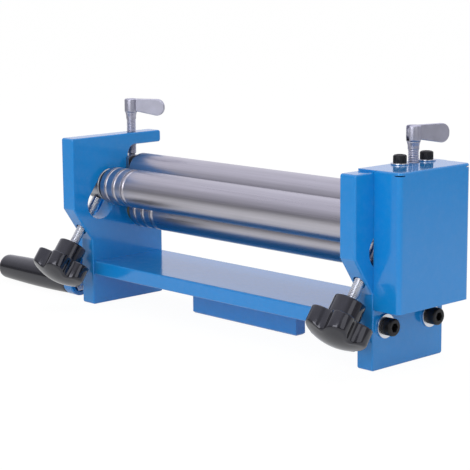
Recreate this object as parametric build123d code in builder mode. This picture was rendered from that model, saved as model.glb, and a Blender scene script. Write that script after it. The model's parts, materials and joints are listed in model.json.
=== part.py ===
"""A hand-cranked slip roll for sheet metal, in millimetres.

X runs along the rolls with the gears at +X, -Y is the side where the sheet goes in, and +Z is up.
The origin is the centre of the two side plates' footprint. A roll's axis is written as (y, z).
"""
import os
from math import acos, cos, pi, radians, sin, sqrt, tan

from build123d import *

os.makedirs("parts", exist_ok=True)

# ---------------------------------------------------------------- driving dimensions
SIDES = ((-1, "left"), (1, "right"))

# Side plates
PLATE_GAP = 305.0          # clear width between the plates
PLATE_THICK = 15.0
PLATE_HEIGHT = 145.0
FOOT_DEPTH = 79.0          # front to back where the plates stand
NOSE_REACH = 19.0          # how far the upper front hangs over the foot
NOSE_BOTTOM = 84.5
UNDERCUT_BOTTOM = 56.5
CORNER_ROUND = 2.0
EDGE_ROUND = 1.2

# Openings that the upper roll's bearing blocks stand in
WINDOW_FRONT = 2.45
WINDOW_BACK = 22.55
WINDOW_BOTTOM = 98.5
WINDOW_TOP = 134.8
WINDOW_CORNER = 0.5
NOTCH_CORNER = 8.0

# Rolls
ROLL_RADIUS = 16.0
ROLL_HALF = 146.2
ROLL_CHAMFER = 0.5
NIP_GAP = 0.6              # between the pinch rolls as the screws are set
LOWER_AXIS = (12.5, 79.0)
UPPER_AXIS = (LOWER_AXIS[0], LOWER_AXIS[1] + 2 * ROLL_RADIUS + NIP_GAP)
BEND_AXIS = (-19.1, 102.3)
SHOULDER_RADIUS = 10.0
WIRE_GROOVES = ((-139.0, 1.6), (-128.5, 2.0), (-117.5, 2.5))   # (x, groove radius)

# Journals, bushes and blocks
RUNNING_FIT = 0.05         # radial
SLIDE_GAP = 0.1
DRIVE_JOURNAL = 8.0        # radius
DRIVE_BUSH = 10.0
DRIVE_FLANGE = 13.0
DRIVE_FLANGE_THICK = 2.0
IDLE_JOURNAL = 6.0
IDLE_BUSH = 7.5
BLOCK_TOP = 124.0
BLOCK_CLEARANCE = 0.8      # between an upper block and its opening's floor
BLOCK_FLANGE_THICK = 3.4
BLOCK_FLANGE_SIDE = 3.0    # how far the flange stands out on each side
BLOCK_FLANGE_RISE = 1.5    # and above and below
BLOCK_SETBACK = 0.2        # of a block's end below the plate's outer face

# Bending roll's slots and screws
SLOT_ANGLE = 54.0          # above the horizontal
SLOT_HALF_WIDTH = 13.5
BEND_TRAVEL = 18.5
SLOT_SPARE = 0.3
BEND_FLANGE = 14.3         # radius
BEND_FLANGE_THICK = 1.5
FLANGE_BEVEL = 0.5

# Studs
STUD_RADIUS = 4.0
STUD_BEVEL = 1.0
STUD_TIP_GAP = 0.1
KNOB_START = 60.3          # distance from the bending roll's axis to the knob, along the screw
RECESS_RADIUS = 5.0
RECESS_FLOOR = 42.0        # distance from the bending roll's axis

# Star knobs
KNOB_HUB_RADIUS = 12.2
KNOB_HUB_LENGTH = 15.0
KNOB_RADIUS = 24.3
KNOB_LOBES = 5
KNOB_LOBE_RADIUS = 8.6
KNOB_VALLEY_RADIUS = 6.0
KNOB_RIM = 12.5            # straight side of the lobed body
KNOB_DOME = 7.5
KNOB_TURN = {"left": -18.0, "right": -24.0}   # degrees from +X to a lobe, seen along the screw
KNOB_EDGE_ROUND = 1.2

# Wing screws
WING_TIP_RADIUS = 3.0
WING_TIP_LENGTH = 6.4
DIMPLE_RADIUS = 3.1
DIMPLE_DEPTH = 4.5
WING_THREAD_TOP = 156.5
WING_NECK_TOP = 159.0
WING_NECK_RADIUS = 4.25
CLEVIS_BOTTOM = 163.0
CLEVIS_TOP = 174.0
CLEVIS_RADIUS = 5.5
CLEVIS_BEVEL = 1.0
CLEVIS_SLOT_FLOOR = 162.4
PIN_HEIGHT = 168.5
PIN_RADIUS = 1.5
PIN_SETBACK = 0.3
BLADE_THICK = 3.4
BLADE_LENGTH = 31.0
BLADE_TIP_DROP = 10.0      # lower edge below the pin, at the tip
BLADE_TIP_ROUND = 6.5
BLADE_EDGE_ROUND = 0.6
BLADE_HEADING = {"left": 28.0, "right": 75.0}   # degrees from +X towards +Y

# Bed
BED_DEPTH = 76.0
BED_BOTTOM = 26.0
BED_THICK = 12.0
BED_BOLT_PLACES = (-26.0, 24.0)
VISE_BAR_LENGTH = 120.0
VISE_BAR_THICK = 10.0
VISE_BAR_MIDDLE = -2.5
VISE_BAR_BOTTOM = 2.5
WELD_LEG = 4.0
WELD_LENGTH = 112.0
WELD_HOLLOW = 0.42         # how far its face dips, as a share of the leg

# Socket-head screws: (thread radius, head radius, head height, socket across flats)
M8 = (4.0, 6.5, 8.0, 6.0)
M6 = (3.0, 5.0, 6.0, 5.0)
CLEARANCE = 0.5            # of a bolt hole, on the radius
SCREW_BEVEL = 0.5
OVERCUT = 1.0              # how far a cut or a boss runs past the face it meets
M8_WASHER = (4.2, 9.0, 1.6)        # (hole radius, outer radius, thickness)
M6_WASHER = (3.2, 6.8, 1.2)
BED_HOLE_DEPTH = 40.0      # from under a bolt's head
BED_BOLT_LENGTH = 38.0
COVER_BOLT_LENGTH = 14.0
COVER_BOLT_PLACES = (-2.5, 27.5)

# Gear cover
SHEET = 1.6
COVER_FRONT = -39.0
COVER_BACK = 39.5
COVER_BOTTOM = 45.4
COVER_OUT = 191.8
COVER_BEND = 3.6           # outside radius of the upright bends
COVER_TOP_BEND = 1.5
COVER_RELIEF = 0.8         # height of the slits that free the bends from the top
COVER_RELIEF_TOP = 144.6

# Gears
MODULE = 2.0
TEETH = 16
PRESSURE_ANGLE = 20.0
DEDENDUM = 1.25            # in modules
BACKLASH = 0.28            # taken off each side of a tooth
GEAR_START = 170.0
GEAR_THICK = 14.0
SHAFT_END = 187.0
GEAR_BORE = {"lower": 6.0, "upper": 5.5}
KEY_WIDTH = 4.0
KEY_DEPTH = 2.2            # in the shaft
KEY_PROUD = 1.6            # in the gear
CIRCLIP_THICK = 1.0
CIRCLIP_DEPTH = 0.8
CIRCLIP_WIDTH = 3.0
CIRCLIP_GAP = 4.0

# Crank
CRANK_RADIUS = 77.0
CRANK_ANGLE = 30.0         # forward from straight down
CRANK_HUB_START = -169.5
ARM_INNER = -186.5
ARM_OUTER = -198.5
HUB_RADIUS = 15.0
BOSS_RADIUS = 13.0
ARM_END_RADIUS = 11.5
ARM_ROUND = 1.2
CRANK_SEAT = 7.0
CRANK_KEY_WIDTH = 5.0
CRANK_SEAT_END = -197.5
CRANK_KEY_END = -170.5
CRANK_WASHER = (3.2, 9.0, 1.6)
CRANK_SCREW_LENGTH = 16.0
NUT_ACROSS_FLATS = 13.0
NUT_THICK = 4.0
NUT_PROUD = 0.8
NUT_POCKET_RADIUS = 8.0
GRIP_INNER = -199.0
GRIP_OUTER = -297.5
GRIP_FAT_PLACE = -250.0
GRIP_INNER_RADIUS = 11.3
GRIP_FAT_RADIUS = 12.1
GRIP_OUTER_RADIUS = 10.8
GRIP_PIN_RADIUS = 5.0
GRIP_HEAD_RADIUS = 6.5
GRIP_RECESS_FLOOR = -290.0
GRIP_HEAD_THICK = 4.5
GRIP_SOCKET_DEPTH = 3.5
GRIP_OUTER_ROUND = 3.2
GRIP_INNER_ROUND = 1.2

# ---------------------------------------------------------------- worked out from them
INNER = PLATE_GAP / 2
OUTER = INNER + PLATE_THICK
MIDDLE = INNER + PLATE_THICK / 2
FOOT_FRONT = -FOOT_DEPTH / 2
FOOT_BACK = FOOT_DEPTH / 2
NOSE_FRONT = FOOT_FRONT - NOSE_REACH
BLOCK_INNER = INNER - SLIDE_GAP - BLOCK_FLANGE_THICK
BEND_BLOCK_INNER = INNER - SLIDE_GAP - BEND_FLANGE_THICK
BLOCK_OUTER = OUTER - BLOCK_SETBACK
SHOULDER_END = BLOCK_INNER - SLIDE_GAP
BEND_SHOULDER_END = BEND_BLOCK_INNER - SLIDE_GAP
BLOCK_RADIUS = SLOT_HALF_WIDTH - RUNNING_FIT
BLOCK_BOTTOM = WINDOW_BOTTOM + BLOCK_CLEARANCE
BLOCK_WIDTH = WINDOW_BACK - WINDOW_FRONT - 2 * SLIDE_GAP
SCREW_WAY = Vector(0, -cos(radians(SLOT_ANGLE)), -sin(radians(SLOT_ANGLE)))
GEAR_END = GEAR_START + GEAR_THICK
PITCH_RADIUS = MODULE * TEETH / 2
TIP_RADIUS = PITCH_RADIUS + MODULE
ROOT_RADIUS = PITCH_RADIUS - DEDENDUM * MODULE
BASE_RADIUS = PITCH_RADIUS * cos(radians(PRESSURE_ANGLE))
GRIP_AXIS = (
    LOWER_AXIS[0] - CRANK_RADIUS * sin(radians(CRANK_ANGLE)),
    LOWER_AXIS[1] - CRANK_RADIUS * cos(radians(CRANK_ANGLE)),
)


# ---------------------------------------------------------------- shared shapes
def turned(outline, origin, way, mode=Mode.ADD, grooves=()):
    """Turn an outline of (distance along, radius) points round the line through origin along way.

    Grooves are half-round ones for wire, in the surface of a roll.
    """
    upright = abs(Vector(way).Z) > 0.99
    square_to_it = Vector(1, 0, 0) if upright else Vector(way).cross(Vector(0, 0, 1))
    with BuildSketch(Plane(origin=origin, x_dir=way, z_dir=square_to_it)) as half:
        with BuildLine():
            Polyline(*outline, close=True)
        make_face()
        for place, radius in grooves:
            with Locations((place, ROLL_RADIUS)):
                Circle(radius, mode=Mode.SUBTRACT)
    revolve(half.sketch, axis=Axis(origin, way), mode=mode)


def rod(radius, start, end, origin, way, mode=Mode.ADD):
    """A plain round bar, or a bore, from start to end along the line."""
    turned([(start, 0), (start, radius), (end, radius), (end, 0)], origin, way, mode)


def ring(hole, outside, start, end, origin, way, mode=Mode.ADD):
    """A plain ring round the line."""
    turned([(start, hole), (start, outside), (end, outside), (end, hole)], origin, way, mode)


def socket_screw(size, length, under_head, way):
    """A socket-head screw whose head stands on under_head and whose thread runs along way."""
    thread, head, height, flats = size
    outline = [
        (-height, 0), (-height, head - SCREW_BEVEL), (SCREW_BEVEL - height, head), (0, head),
        (0, thread), (length - SCREW_BEVEL, thread), (length, thread - SCREW_BEVEL), (length, 0),
    ]
    turned(outline, under_head, way)
    top = Vector(under_head) - Vector(way) * height
    with BuildSketch(Plane(origin=top, z_dir=way)) as socket:
        RegularPolygon(flats / sqrt(3), 6)
    extrude(socket.sketch, amount=height / 2, mode=Mode.SUBTRACT)


def keyway(start, end, axis, shaft, width, depth, proud, mode=Mode.ADD):
    """A square key on top of a shaft, or the groove that it lies in."""
    with BuildSketch(Plane.YZ.offset(start)) as section:
        with Locations((axis[0], axis[1] + shaft + (proud - depth) / 2)):
            Rectangle(width, depth + proud)
    extrude(section.sketch, amount=end - start, mode=mode)


def roll_end(side, shoulder_end):
    """Outline of a roll's body edge and shoulder at one end, from the outside in."""
    points = [
        (shoulder_end, SHOULDER_RADIUS),
        (ROLL_HALF, SHOULDER_RADIUS),
        (ROLL_HALF, ROLL_RADIUS - ROLL_CHAMFER),
        (ROLL_HALF - ROLL_CHAMFER, ROLL_RADIUS),
    ]
    placed = [(side * x, radius) for x, radius in points]
    return placed if side < 0 else placed[::-1]


def polar(radius, angle):
    """A point in a sketch at a radius and an angle in radians."""
    return (radius * cos(angle), radius * sin(angle))


def flank_angle(radius):
    """Half the angle that a gear tooth takes up at a radius, from the involute of the base circle."""
    def roll_angle(r):
        pressure = acos(min(1.0, BASE_RADIUS / r))
        return tan(pressure) - pressure
    at_pitch = pi / (2 * TEETH) - BACKLASH / PITCH_RADIUS
    return at_pitch + roll_angle(PITCH_RADIUS) - roll_angle(max(radius, BASE_RADIUS))


def gear(axis, bore, phase):
    """A spur gear on a shaft, its first tooth at phase degrees, keyed on top."""
    middle = (BASE_RADIUS + TIP_RADIUS) / 2
    inside = ROOT_RADIUS - OVERCUT
    with BuildSketch(Plane.YZ.offset(GEAR_START)) as face:
        with Locations(axis):
            Circle(ROOT_RADIUS)
            with PolarLocations(0, TEETH, start_angle=phase):
                add(tooth(inside, middle))
            Circle(bore, mode=Mode.SUBTRACT)
    extrude(face.sketch, amount=GEAR_THICK)


def tooth(inside, middle):
    """One gear tooth as a face, pointing along the sketch's x."""
    lower = [polar(r, -flank_angle(r)) for r in (inside, BASE_RADIUS, middle, TIP_RADIUS)]
    upper = [(x, -y) for x, y in lower]
    with BuildSketch() as face:
        with BuildLine():
            Line(lower[0], lower[1])
            ThreePointArc(*lower[1:])
            ThreePointArc(lower[3], (TIP_RADIUS, 0), upper[3])
            ThreePointArc(*upper[:0:-1])
            Line(upper[1], upper[0])
            Line(upper[0], lower[0])
        make_face()
    return face.sketch


# ---------------------------------------------------------------- side plates
for side, name in SIDES:
    corners = [(FOOT_FRONT, 0), (FOOT_BACK, 0)]
    if name == "left":
        corners += [
            (FOOT_BACK, WINDOW_BOTTOM), (WINDOW_FRONT, WINDOW_BOTTOM),
            (WINDOW_FRONT, WINDOW_TOP), (FOOT_BACK, WINDOW_TOP),
        ]
    corners += [
        (FOOT_BACK, PLATE_HEIGHT), (NOSE_FRONT, PLATE_HEIGHT),
        (NOSE_FRONT, NOSE_BOTTOM), (FOOT_FRONT, UNDERCUT_BOTTOM),
    ]
    inner_end = side * INNER
    with BuildPart() as side_plate:
        with BuildSketch(Plane.YZ.offset(min(inner_end, side * OUTER))) as outline:
            with BuildLine():
                Polyline(*corners, close=True)
            make_face()
            notch_corner = (WINDOW_FRONT, WINDOW_TOP, 0)
            if name == "left":
                fillet(outline.vertices().sort_by_distance(notch_corner)[1:], CORNER_ROUND)
                fillet(outline.vertices().sort_by_distance(notch_corner)[0], NOTCH_CORNER)
            else:
                fillet(outline.vertices(), CORNER_ROUND)
        extrude(amount=PLATE_THICK)
        big_faces = side_plate.faces().sort_by(Axis.X)
        rims = big_faces[0].outer_wire().edges() + big_faces[-1].outer_wire().edges()
        fillet(rims, EDGE_ROUND)
        with BuildSketch(Plane.YZ.offset(min(inner_end, side * OUTER))):
            slot_reach = (BEND_TRAVEL - SLOT_SPARE) / 2
            slot_middle = (BEND_AXIS[0] + SCREW_WAY.Y * slot_reach, BEND_AXIS[1] + SCREW_WAY.Z * slot_reach)
            with Locations(slot_middle):
                SlotCenterToCenter(BEND_TRAVEL + SLOT_SPARE, 2 * SLOT_HALF_WIDTH, rotation=SLOT_ANGLE)
            with Locations(LOWER_AXIS):
                Circle(DRIVE_BUSH)
            with Locations(*[(y, BED_BOTTOM + BED_THICK / 2) for y in BED_BOLT_PLACES]):
                Circle(M8[0] + CLEARANCE)
            if name == "right":
                window_middle = ((WINDOW_FRONT + WINDOW_BACK) / 2, (WINDOW_BOTTOM + WINDOW_TOP) / 2)
                with Locations(window_middle):
                    RectangleRounded(WINDOW_BACK - WINDOW_FRONT, WINDOW_TOP - WINDOW_BOTTOM, WINDOW_CORNER)
        extrude(amount=PLATE_THICK, mode=Mode.SUBTRACT)
        roll_centre = (side * MIDDLE, *BEND_AXIS)
        rod(STUD_RADIUS + RUNNING_FIT, BEND_TRAVEL, KNOB_START, roll_centre, SCREW_WAY, Mode.SUBTRACT)
        rod(RECESS_RADIUS, RECESS_FLOOR, KNOB_START, roll_centre, SCREW_WAY, Mode.SUBTRACT)
        wing_line = (side * MIDDLE, UPPER_AXIS[0], 0)
        rod(STUD_RADIUS + RUNNING_FIT, WINDOW_TOP - OVERCUT, PLATE_HEIGHT + OVERCUT, wing_line, (0, 0, 1),
            Mode.SUBTRACT)
        if name == "right":
            for y in COVER_BOLT_PLACES:
                bottom = PLATE_HEIGHT + SHEET + M6_WASHER[2] - COVER_BOLT_LENGTH
                rod(M6[0], bottom, PLATE_HEIGHT + OVERCUT, (MIDDLE, y, 0), (0, 0, 1), Mode.SUBTRACT)
    side_plate.part.label = f"{name}_side_plate"
    export_step(side_plate.part, f"parts/{name}_side_plate.step")

# ---------------------------------------------------------------- bed and vise bar
with BuildPart() as bed_plate:
    with BuildSketch(Plane.XY.offset(BED_BOTTOM)):
        Rectangle(PLATE_GAP, BED_DEPTH)
    extrude(amount=BED_THICK)
    fillet(bed_plate.edges().filter_by(Axis.X), EDGE_ROUND)
    for side, name in SIDES:
        for y in BED_BOLT_PLACES:
            bolt_seat = (side * (OUTER + M8_WASHER[2]), y, BED_BOTTOM + BED_THICK / 2)
            rod(M8[0], 0, BED_HOLE_DEPTH, bolt_seat, (-side, 0, 0), Mode.SUBTRACT)
bed_plate.part.label = "bed_plate"
export_step(bed_plate.part, "parts/bed_plate.step")

with BuildPart() as vise_bar:
    with BuildSketch(Plane.XY.offset(VISE_BAR_BOTTOM)):
        with Locations((0, VISE_BAR_MIDDLE)):
            Rectangle(VISE_BAR_LENGTH, VISE_BAR_THICK)
    extrude(amount=BED_BOTTOM - VISE_BAR_BOTTOM)
    chamfer(vise_bar.edges().group_by(Axis.Z)[0], EDGE_ROUND)
vise_bar.part.label = "vise_bar"
export_step(vise_bar.part, "parts/vise_bar.step")

with BuildPart() as vise_bar_welds:
    with BuildSketch(Plane.YZ.offset(-WELD_LENGTH / 2)):
        for way in (-1, 1):
            foot = VISE_BAR_MIDDLE + way * VISE_BAR_THICK / 2
            with BuildLine():
                toe = (foot + way * WELD_LEG, BED_BOTTOM)
                heel = (foot, BED_BOTTOM - WELD_LEG)
                hollow = (foot + way * WELD_LEG * WELD_HOLLOW, BED_BOTTOM - WELD_LEG * WELD_HOLLOW)
                ThreePointArc(toe, hollow, heel)
                Polyline(heel, (foot, BED_BOTTOM), toe)
            make_face()
    extrude(amount=WELD_LENGTH)
vise_bar_welds.part.label = "vise_bar_welds"
export_step(vise_bar_welds.part, "parts/vise_bar_welds.step")

for side, name in SIDES:
    inward = (-side, 0, 0)
    with BuildPart() as bed_bolts:
        for y in BED_BOLT_PLACES:
            under_head = (side * (OUTER + M8_WASHER[2]), y, BED_BOTTOM + BED_THICK / 2)
            socket_screw(M8, BED_BOLT_LENGTH, under_head, inward)
    bed_bolts.part.label = f"bed_bolts_{name}"
    export_step(bed_bolts.part, f"parts/bed_bolts_{name}.step")

    with BuildPart() as bed_washers:
        for y in BED_BOLT_PLACES:
            face = (side * (OUTER + M8_WASHER[2]), y, BED_BOTTOM + BED_THICK / 2)
            ring(M8_WASHER[0], M8_WASHER[1], 0, M8_WASHER[2], face, inward)
    bed_washers.part.label = f"bed_washers_{name}"
    export_step(bed_washers.part, f"parts/bed_washers_{name}.step")

# ---------------------------------------------------------------- gear cover
with BuildPart() as gear_cover:
    with BuildSketch(Plane.XY.offset(COVER_BOTTOM)):
        with Locations(((OUTER + COVER_OUT) / 2, (COVER_FRONT + COVER_BACK) / 2)):
            Rectangle(COVER_OUT - OUTER, COVER_BACK - COVER_FRONT)
    extrude(amount=PLATE_HEIGHT + SHEET - COVER_BOTTOM)
    fillet(gear_cover.edges().filter_by(Axis.Z).sort_by(Axis.X)[-2:], COVER_BEND)
    top_rim = gear_cover.faces().sort_by(Axis.Z)[-1].outer_wire().edges()
    fillet(top_rim.sort_by(Axis.X)[1:], COVER_TOP_BEND)
    bottom_face = gear_cover.faces().sort_by(Axis.Z)[0]
    plate_face = gear_cover.faces().sort_by(Axis.X)[0]
    offset(amount=-SHEET, openings=[bottom_face, plate_face])
    with BuildSketch(Plane.XY.offset(PLATE_HEIGHT)):
        with Locations(((INNER + OUTER + SHEET) / 2, (COVER_FRONT + COVER_BACK) / 2)):
            Rectangle(PLATE_THICK + SHEET, COVER_BACK - COVER_FRONT)
    extrude(amount=SHEET)
    with BuildSketch(Plane.XY.offset(PLATE_HEIGHT)):
        with Locations((MIDDLE, UPPER_AXIS[0])):
            Circle(STUD_RADIUS + CLEARANCE)
        with Locations(*[(MIDDLE, y) for y in COVER_BOLT_PLACES]):
            Circle(M6[0] + CLEARANCE / 2)
    extrude(amount=SHEET, mode=Mode.SUBTRACT)
    with BuildSketch(Plane.XY.offset(COVER_RELIEF_TOP)):
        with Locations((COVER_OUT, COVER_FRONT), (COVER_OUT, COVER_BACK)):
            Rectangle(3 * COVER_BEND, 3 * COVER_BEND)
    extrude(amount=-COVER_RELIEF, mode=Mode.SUBTRACT)
gear_cover.part.label = "gear_cover"
export_step(gear_cover.part, "parts/gear_cover.step")

with BuildPart() as cover_bolts:
    for y in COVER_BOLT_PLACES:
        under_head = (MIDDLE, y, PLATE_HEIGHT + SHEET + M6_WASHER[2])
        socket_screw(M6, COVER_BOLT_LENGTH, under_head, (0, 0, -1))
cover_bolts.part.label = "cover_bolts"
export_step(cover_bolts.part, "parts/cover_bolts.step")

with BuildPart() as cover_washers:
    for y in COVER_BOLT_PLACES:
        ring(M6_WASHER[0], M6_WASHER[1], 0, M6_WASHER[2], (MIDDLE, y, PLATE_HEIGHT + SHEET), (0, 0, 1))
cover_washers.part.label = "cover_washers"
export_step(cover_washers.part, "parts/cover_washers.step")

# ---------------------------------------------------------------- driven lower roll
for side, name in SIDES:
    with BuildPart() as lower_bush:
        outline = [
            (INNER - DRIVE_FLANGE_THICK, DRIVE_JOURNAL + RUNNING_FIT),
            (INNER - DRIVE_FLANGE_THICK, DRIVE_FLANGE),
            (INNER, DRIVE_FLANGE),
            (INNER, DRIVE_BUSH),
            (OUTER, DRIVE_BUSH),
            (OUTER, DRIVE_JOURNAL + RUNNING_FIT),
        ]
        turned(outline, (0, *LOWER_AXIS), (side, 0, 0))
    lower_bush.part.label = f"lower_bush_{name}"
    export_step(lower_bush.part, f"parts/lower_bush_{name}.step")

lower_shoulder = INNER - DRIVE_FLANGE_THICK - 2 * SLIDE_GAP
with BuildPart() as lower_roller:
    outline = [
        (CRANK_SEAT_END, 0), (CRANK_SEAT_END, CRANK_SEAT), (CRANK_HUB_START, CRANK_SEAT),
        (CRANK_HUB_START, DRIVE_JOURNAL), (-lower_shoulder, DRIVE_JOURNAL),
        *roll_end(-1, lower_shoulder), *roll_end(1, lower_shoulder),
        (lower_shoulder, DRIVE_JOURNAL), (GEAR_START, DRIVE_JOURNAL),
        (GEAR_START, GEAR_BORE["lower"]), (SHAFT_END, GEAR_BORE["lower"]), (SHAFT_END, 0),
    ]
    turned(outline, (0, *LOWER_AXIS), (1, 0, 0), grooves=WIRE_GROOVES)
    keyway(GEAR_START, GEAR_END, LOWER_AXIS, GEAR_BORE["lower"], KEY_WIDTH, KEY_DEPTH, KEY_PROUD,
           Mode.SUBTRACT)
    keyway(ARM_OUTER, CRANK_HUB_START, LOWER_AXIS, CRANK_SEAT, CRANK_KEY_WIDTH, KEY_DEPTH, KEY_PROUD,
           Mode.SUBTRACT)
    ring(GEAR_BORE["lower"] - CIRCLIP_DEPTH, GEAR_BORE["lower"] + OVERCUT, GEAR_END, GEAR_END + CIRCLIP_THICK,
         (0, *LOWER_AXIS), (1, 0, 0), Mode.SUBTRACT)
    screw_end = CRANK_SEAT_END + CRANK_SCREW_LENGTH
    rod(M6[0], CRANK_SEAT_END, screw_end, (0, *LOWER_AXIS), (1, 0, 0), Mode.SUBTRACT)
lower_roller.part.label = "lower_roller"
export_step(lower_roller.part, "parts/lower_roller.step")

# ---------------------------------------------------------------- geared upper roll
with BuildPart() as upper_roller:
    outline = [
        (-BLOCK_OUTER, 0), (-BLOCK_OUTER, IDLE_JOURNAL), (-SHOULDER_END, IDLE_JOURNAL),
        *roll_end(-1, SHOULDER_END), *roll_end(1, SHOULDER_END),
        (SHOULDER_END, IDLE_JOURNAL), (GEAR_START, IDLE_JOURNAL),
        (GEAR_START, GEAR_BORE["upper"]), (SHAFT_END, GEAR_BORE["upper"]), (SHAFT_END, 0),
    ]
    turned(outline, (0, *UPPER_AXIS), (1, 0, 0))
    keyway(GEAR_START, GEAR_END, UPPER_AXIS, GEAR_BORE["upper"], KEY_WIDTH, KEY_DEPTH, KEY_PROUD,
           Mode.SUBTRACT)
    ring(GEAR_BORE["upper"] - CIRCLIP_DEPTH, GEAR_BORE["upper"] + OVERCUT, GEAR_END, GEAR_END + CIRCLIP_THICK,
         (0, *UPPER_AXIS), (1, 0, 0), Mode.SUBTRACT)
upper_roller.part.label = "upper_roller"
export_step(upper_roller.part, "parts/upper_roller.step")

# ---------------------------------------------------------------- gears, keys and circlips
half_tooth = 180 / TEETH
for name, axis, phase in (("lower", LOWER_AXIS, 0.0), ("upper", UPPER_AXIS, half_tooth)):
    bore = GEAR_BORE[name]
    with BuildPart() as drive_gear:
        gear(axis, bore, phase + 90)
        keyway(GEAR_START, GEAR_END, axis, bore, KEY_WIDTH, KEY_DEPTH, KEY_PROUD, Mode.SUBTRACT)
    drive_gear.part.label = f"{name}_gear"
    export_step(drive_gear.part, f"parts/{name}_gear.step")

    with BuildPart() as gear_key:
        keyway(GEAR_START, GEAR_END, axis, bore, KEY_WIDTH, KEY_DEPTH, KEY_PROUD)
    gear_key.part.label = f"{name}_gear_key"
    export_step(gear_key.part, f"parts/{name}_gear_key.step")

    with BuildPart() as circlip:
        hole = bore - CIRCLIP_DEPTH
        ring(hole, hole + CIRCLIP_WIDTH, GEAR_END, GEAR_END + CIRCLIP_THICK, (0, *axis), (1, 0, 0))
        with BuildSketch(Plane.YZ.offset(GEAR_END)):
            with Locations((axis[0], axis[1] - hole - CIRCLIP_WIDTH / 2)):
                Rectangle(CIRCLIP_GAP, 2 * CIRCLIP_WIDTH)
        extrude(amount=CIRCLIP_THICK, mode=Mode.SUBTRACT)
    circlip.part.label = f"{name}_gear_circlip"
    export_step(circlip.part, f"parts/{name}_gear_circlip.step")

# ---------------------------------------------------------------- upper roll's blocks and bushes
for side, name in SIDES:
    outward = (side, 0, 0)
    flange_width = BLOCK_WIDTH + 2 * BLOCK_FLANGE_SIDE
    flange_height = BLOCK_TOP - BLOCK_BOTTOM + 2 * BLOCK_FLANGE_RISE
    with BuildPart() as upper_block:
        with BuildSketch(Plane.YZ.offset(side * (INNER - SLIDE_GAP))):
            with Locations((UPPER_AXIS[0], (BLOCK_BOTTOM + BLOCK_TOP) / 2)):
                RectangleRounded(BLOCK_WIDTH, BLOCK_TOP - BLOCK_BOTTOM, CORNER_ROUND)
        extrude(amount=side * (BLOCK_OUTER - INNER + SLIDE_GAP))
        with BuildSketch(Plane.YZ.offset(side * BLOCK_INNER)):
            with Locations((UPPER_AXIS[0], (BLOCK_BOTTOM + BLOCK_TOP) / 2)):
                RectangleRounded(flange_width, flange_height, CORNER_ROUND)
        extrude(amount=side * BLOCK_FLANGE_THICK)
        rod(IDLE_BUSH, BLOCK_INNER, BLOCK_OUTER, (0, *UPPER_AXIS), outward, Mode.SUBTRACT)
        rod(DIMPLE_RADIUS, BLOCK_TOP - DIMPLE_DEPTH, BLOCK_TOP, (side * MIDDLE, UPPER_AXIS[0], 0), (0, 0, 1),
            Mode.SUBTRACT)
    upper_block.part.label = f"upper_block_{name}"
    export_step(upper_block.part, f"parts/upper_block_{name}.step")

    with BuildPart() as upper_bush:
        ring(IDLE_JOURNAL + RUNNING_FIT, IDLE_BUSH, BLOCK_INNER, BLOCK_OUTER, (0, *UPPER_AXIS), outward)
    upper_bush.part.label = f"upper_bush_{name}"
    export_step(upper_bush.part, f"parts/upper_bush_{name}.step")

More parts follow.
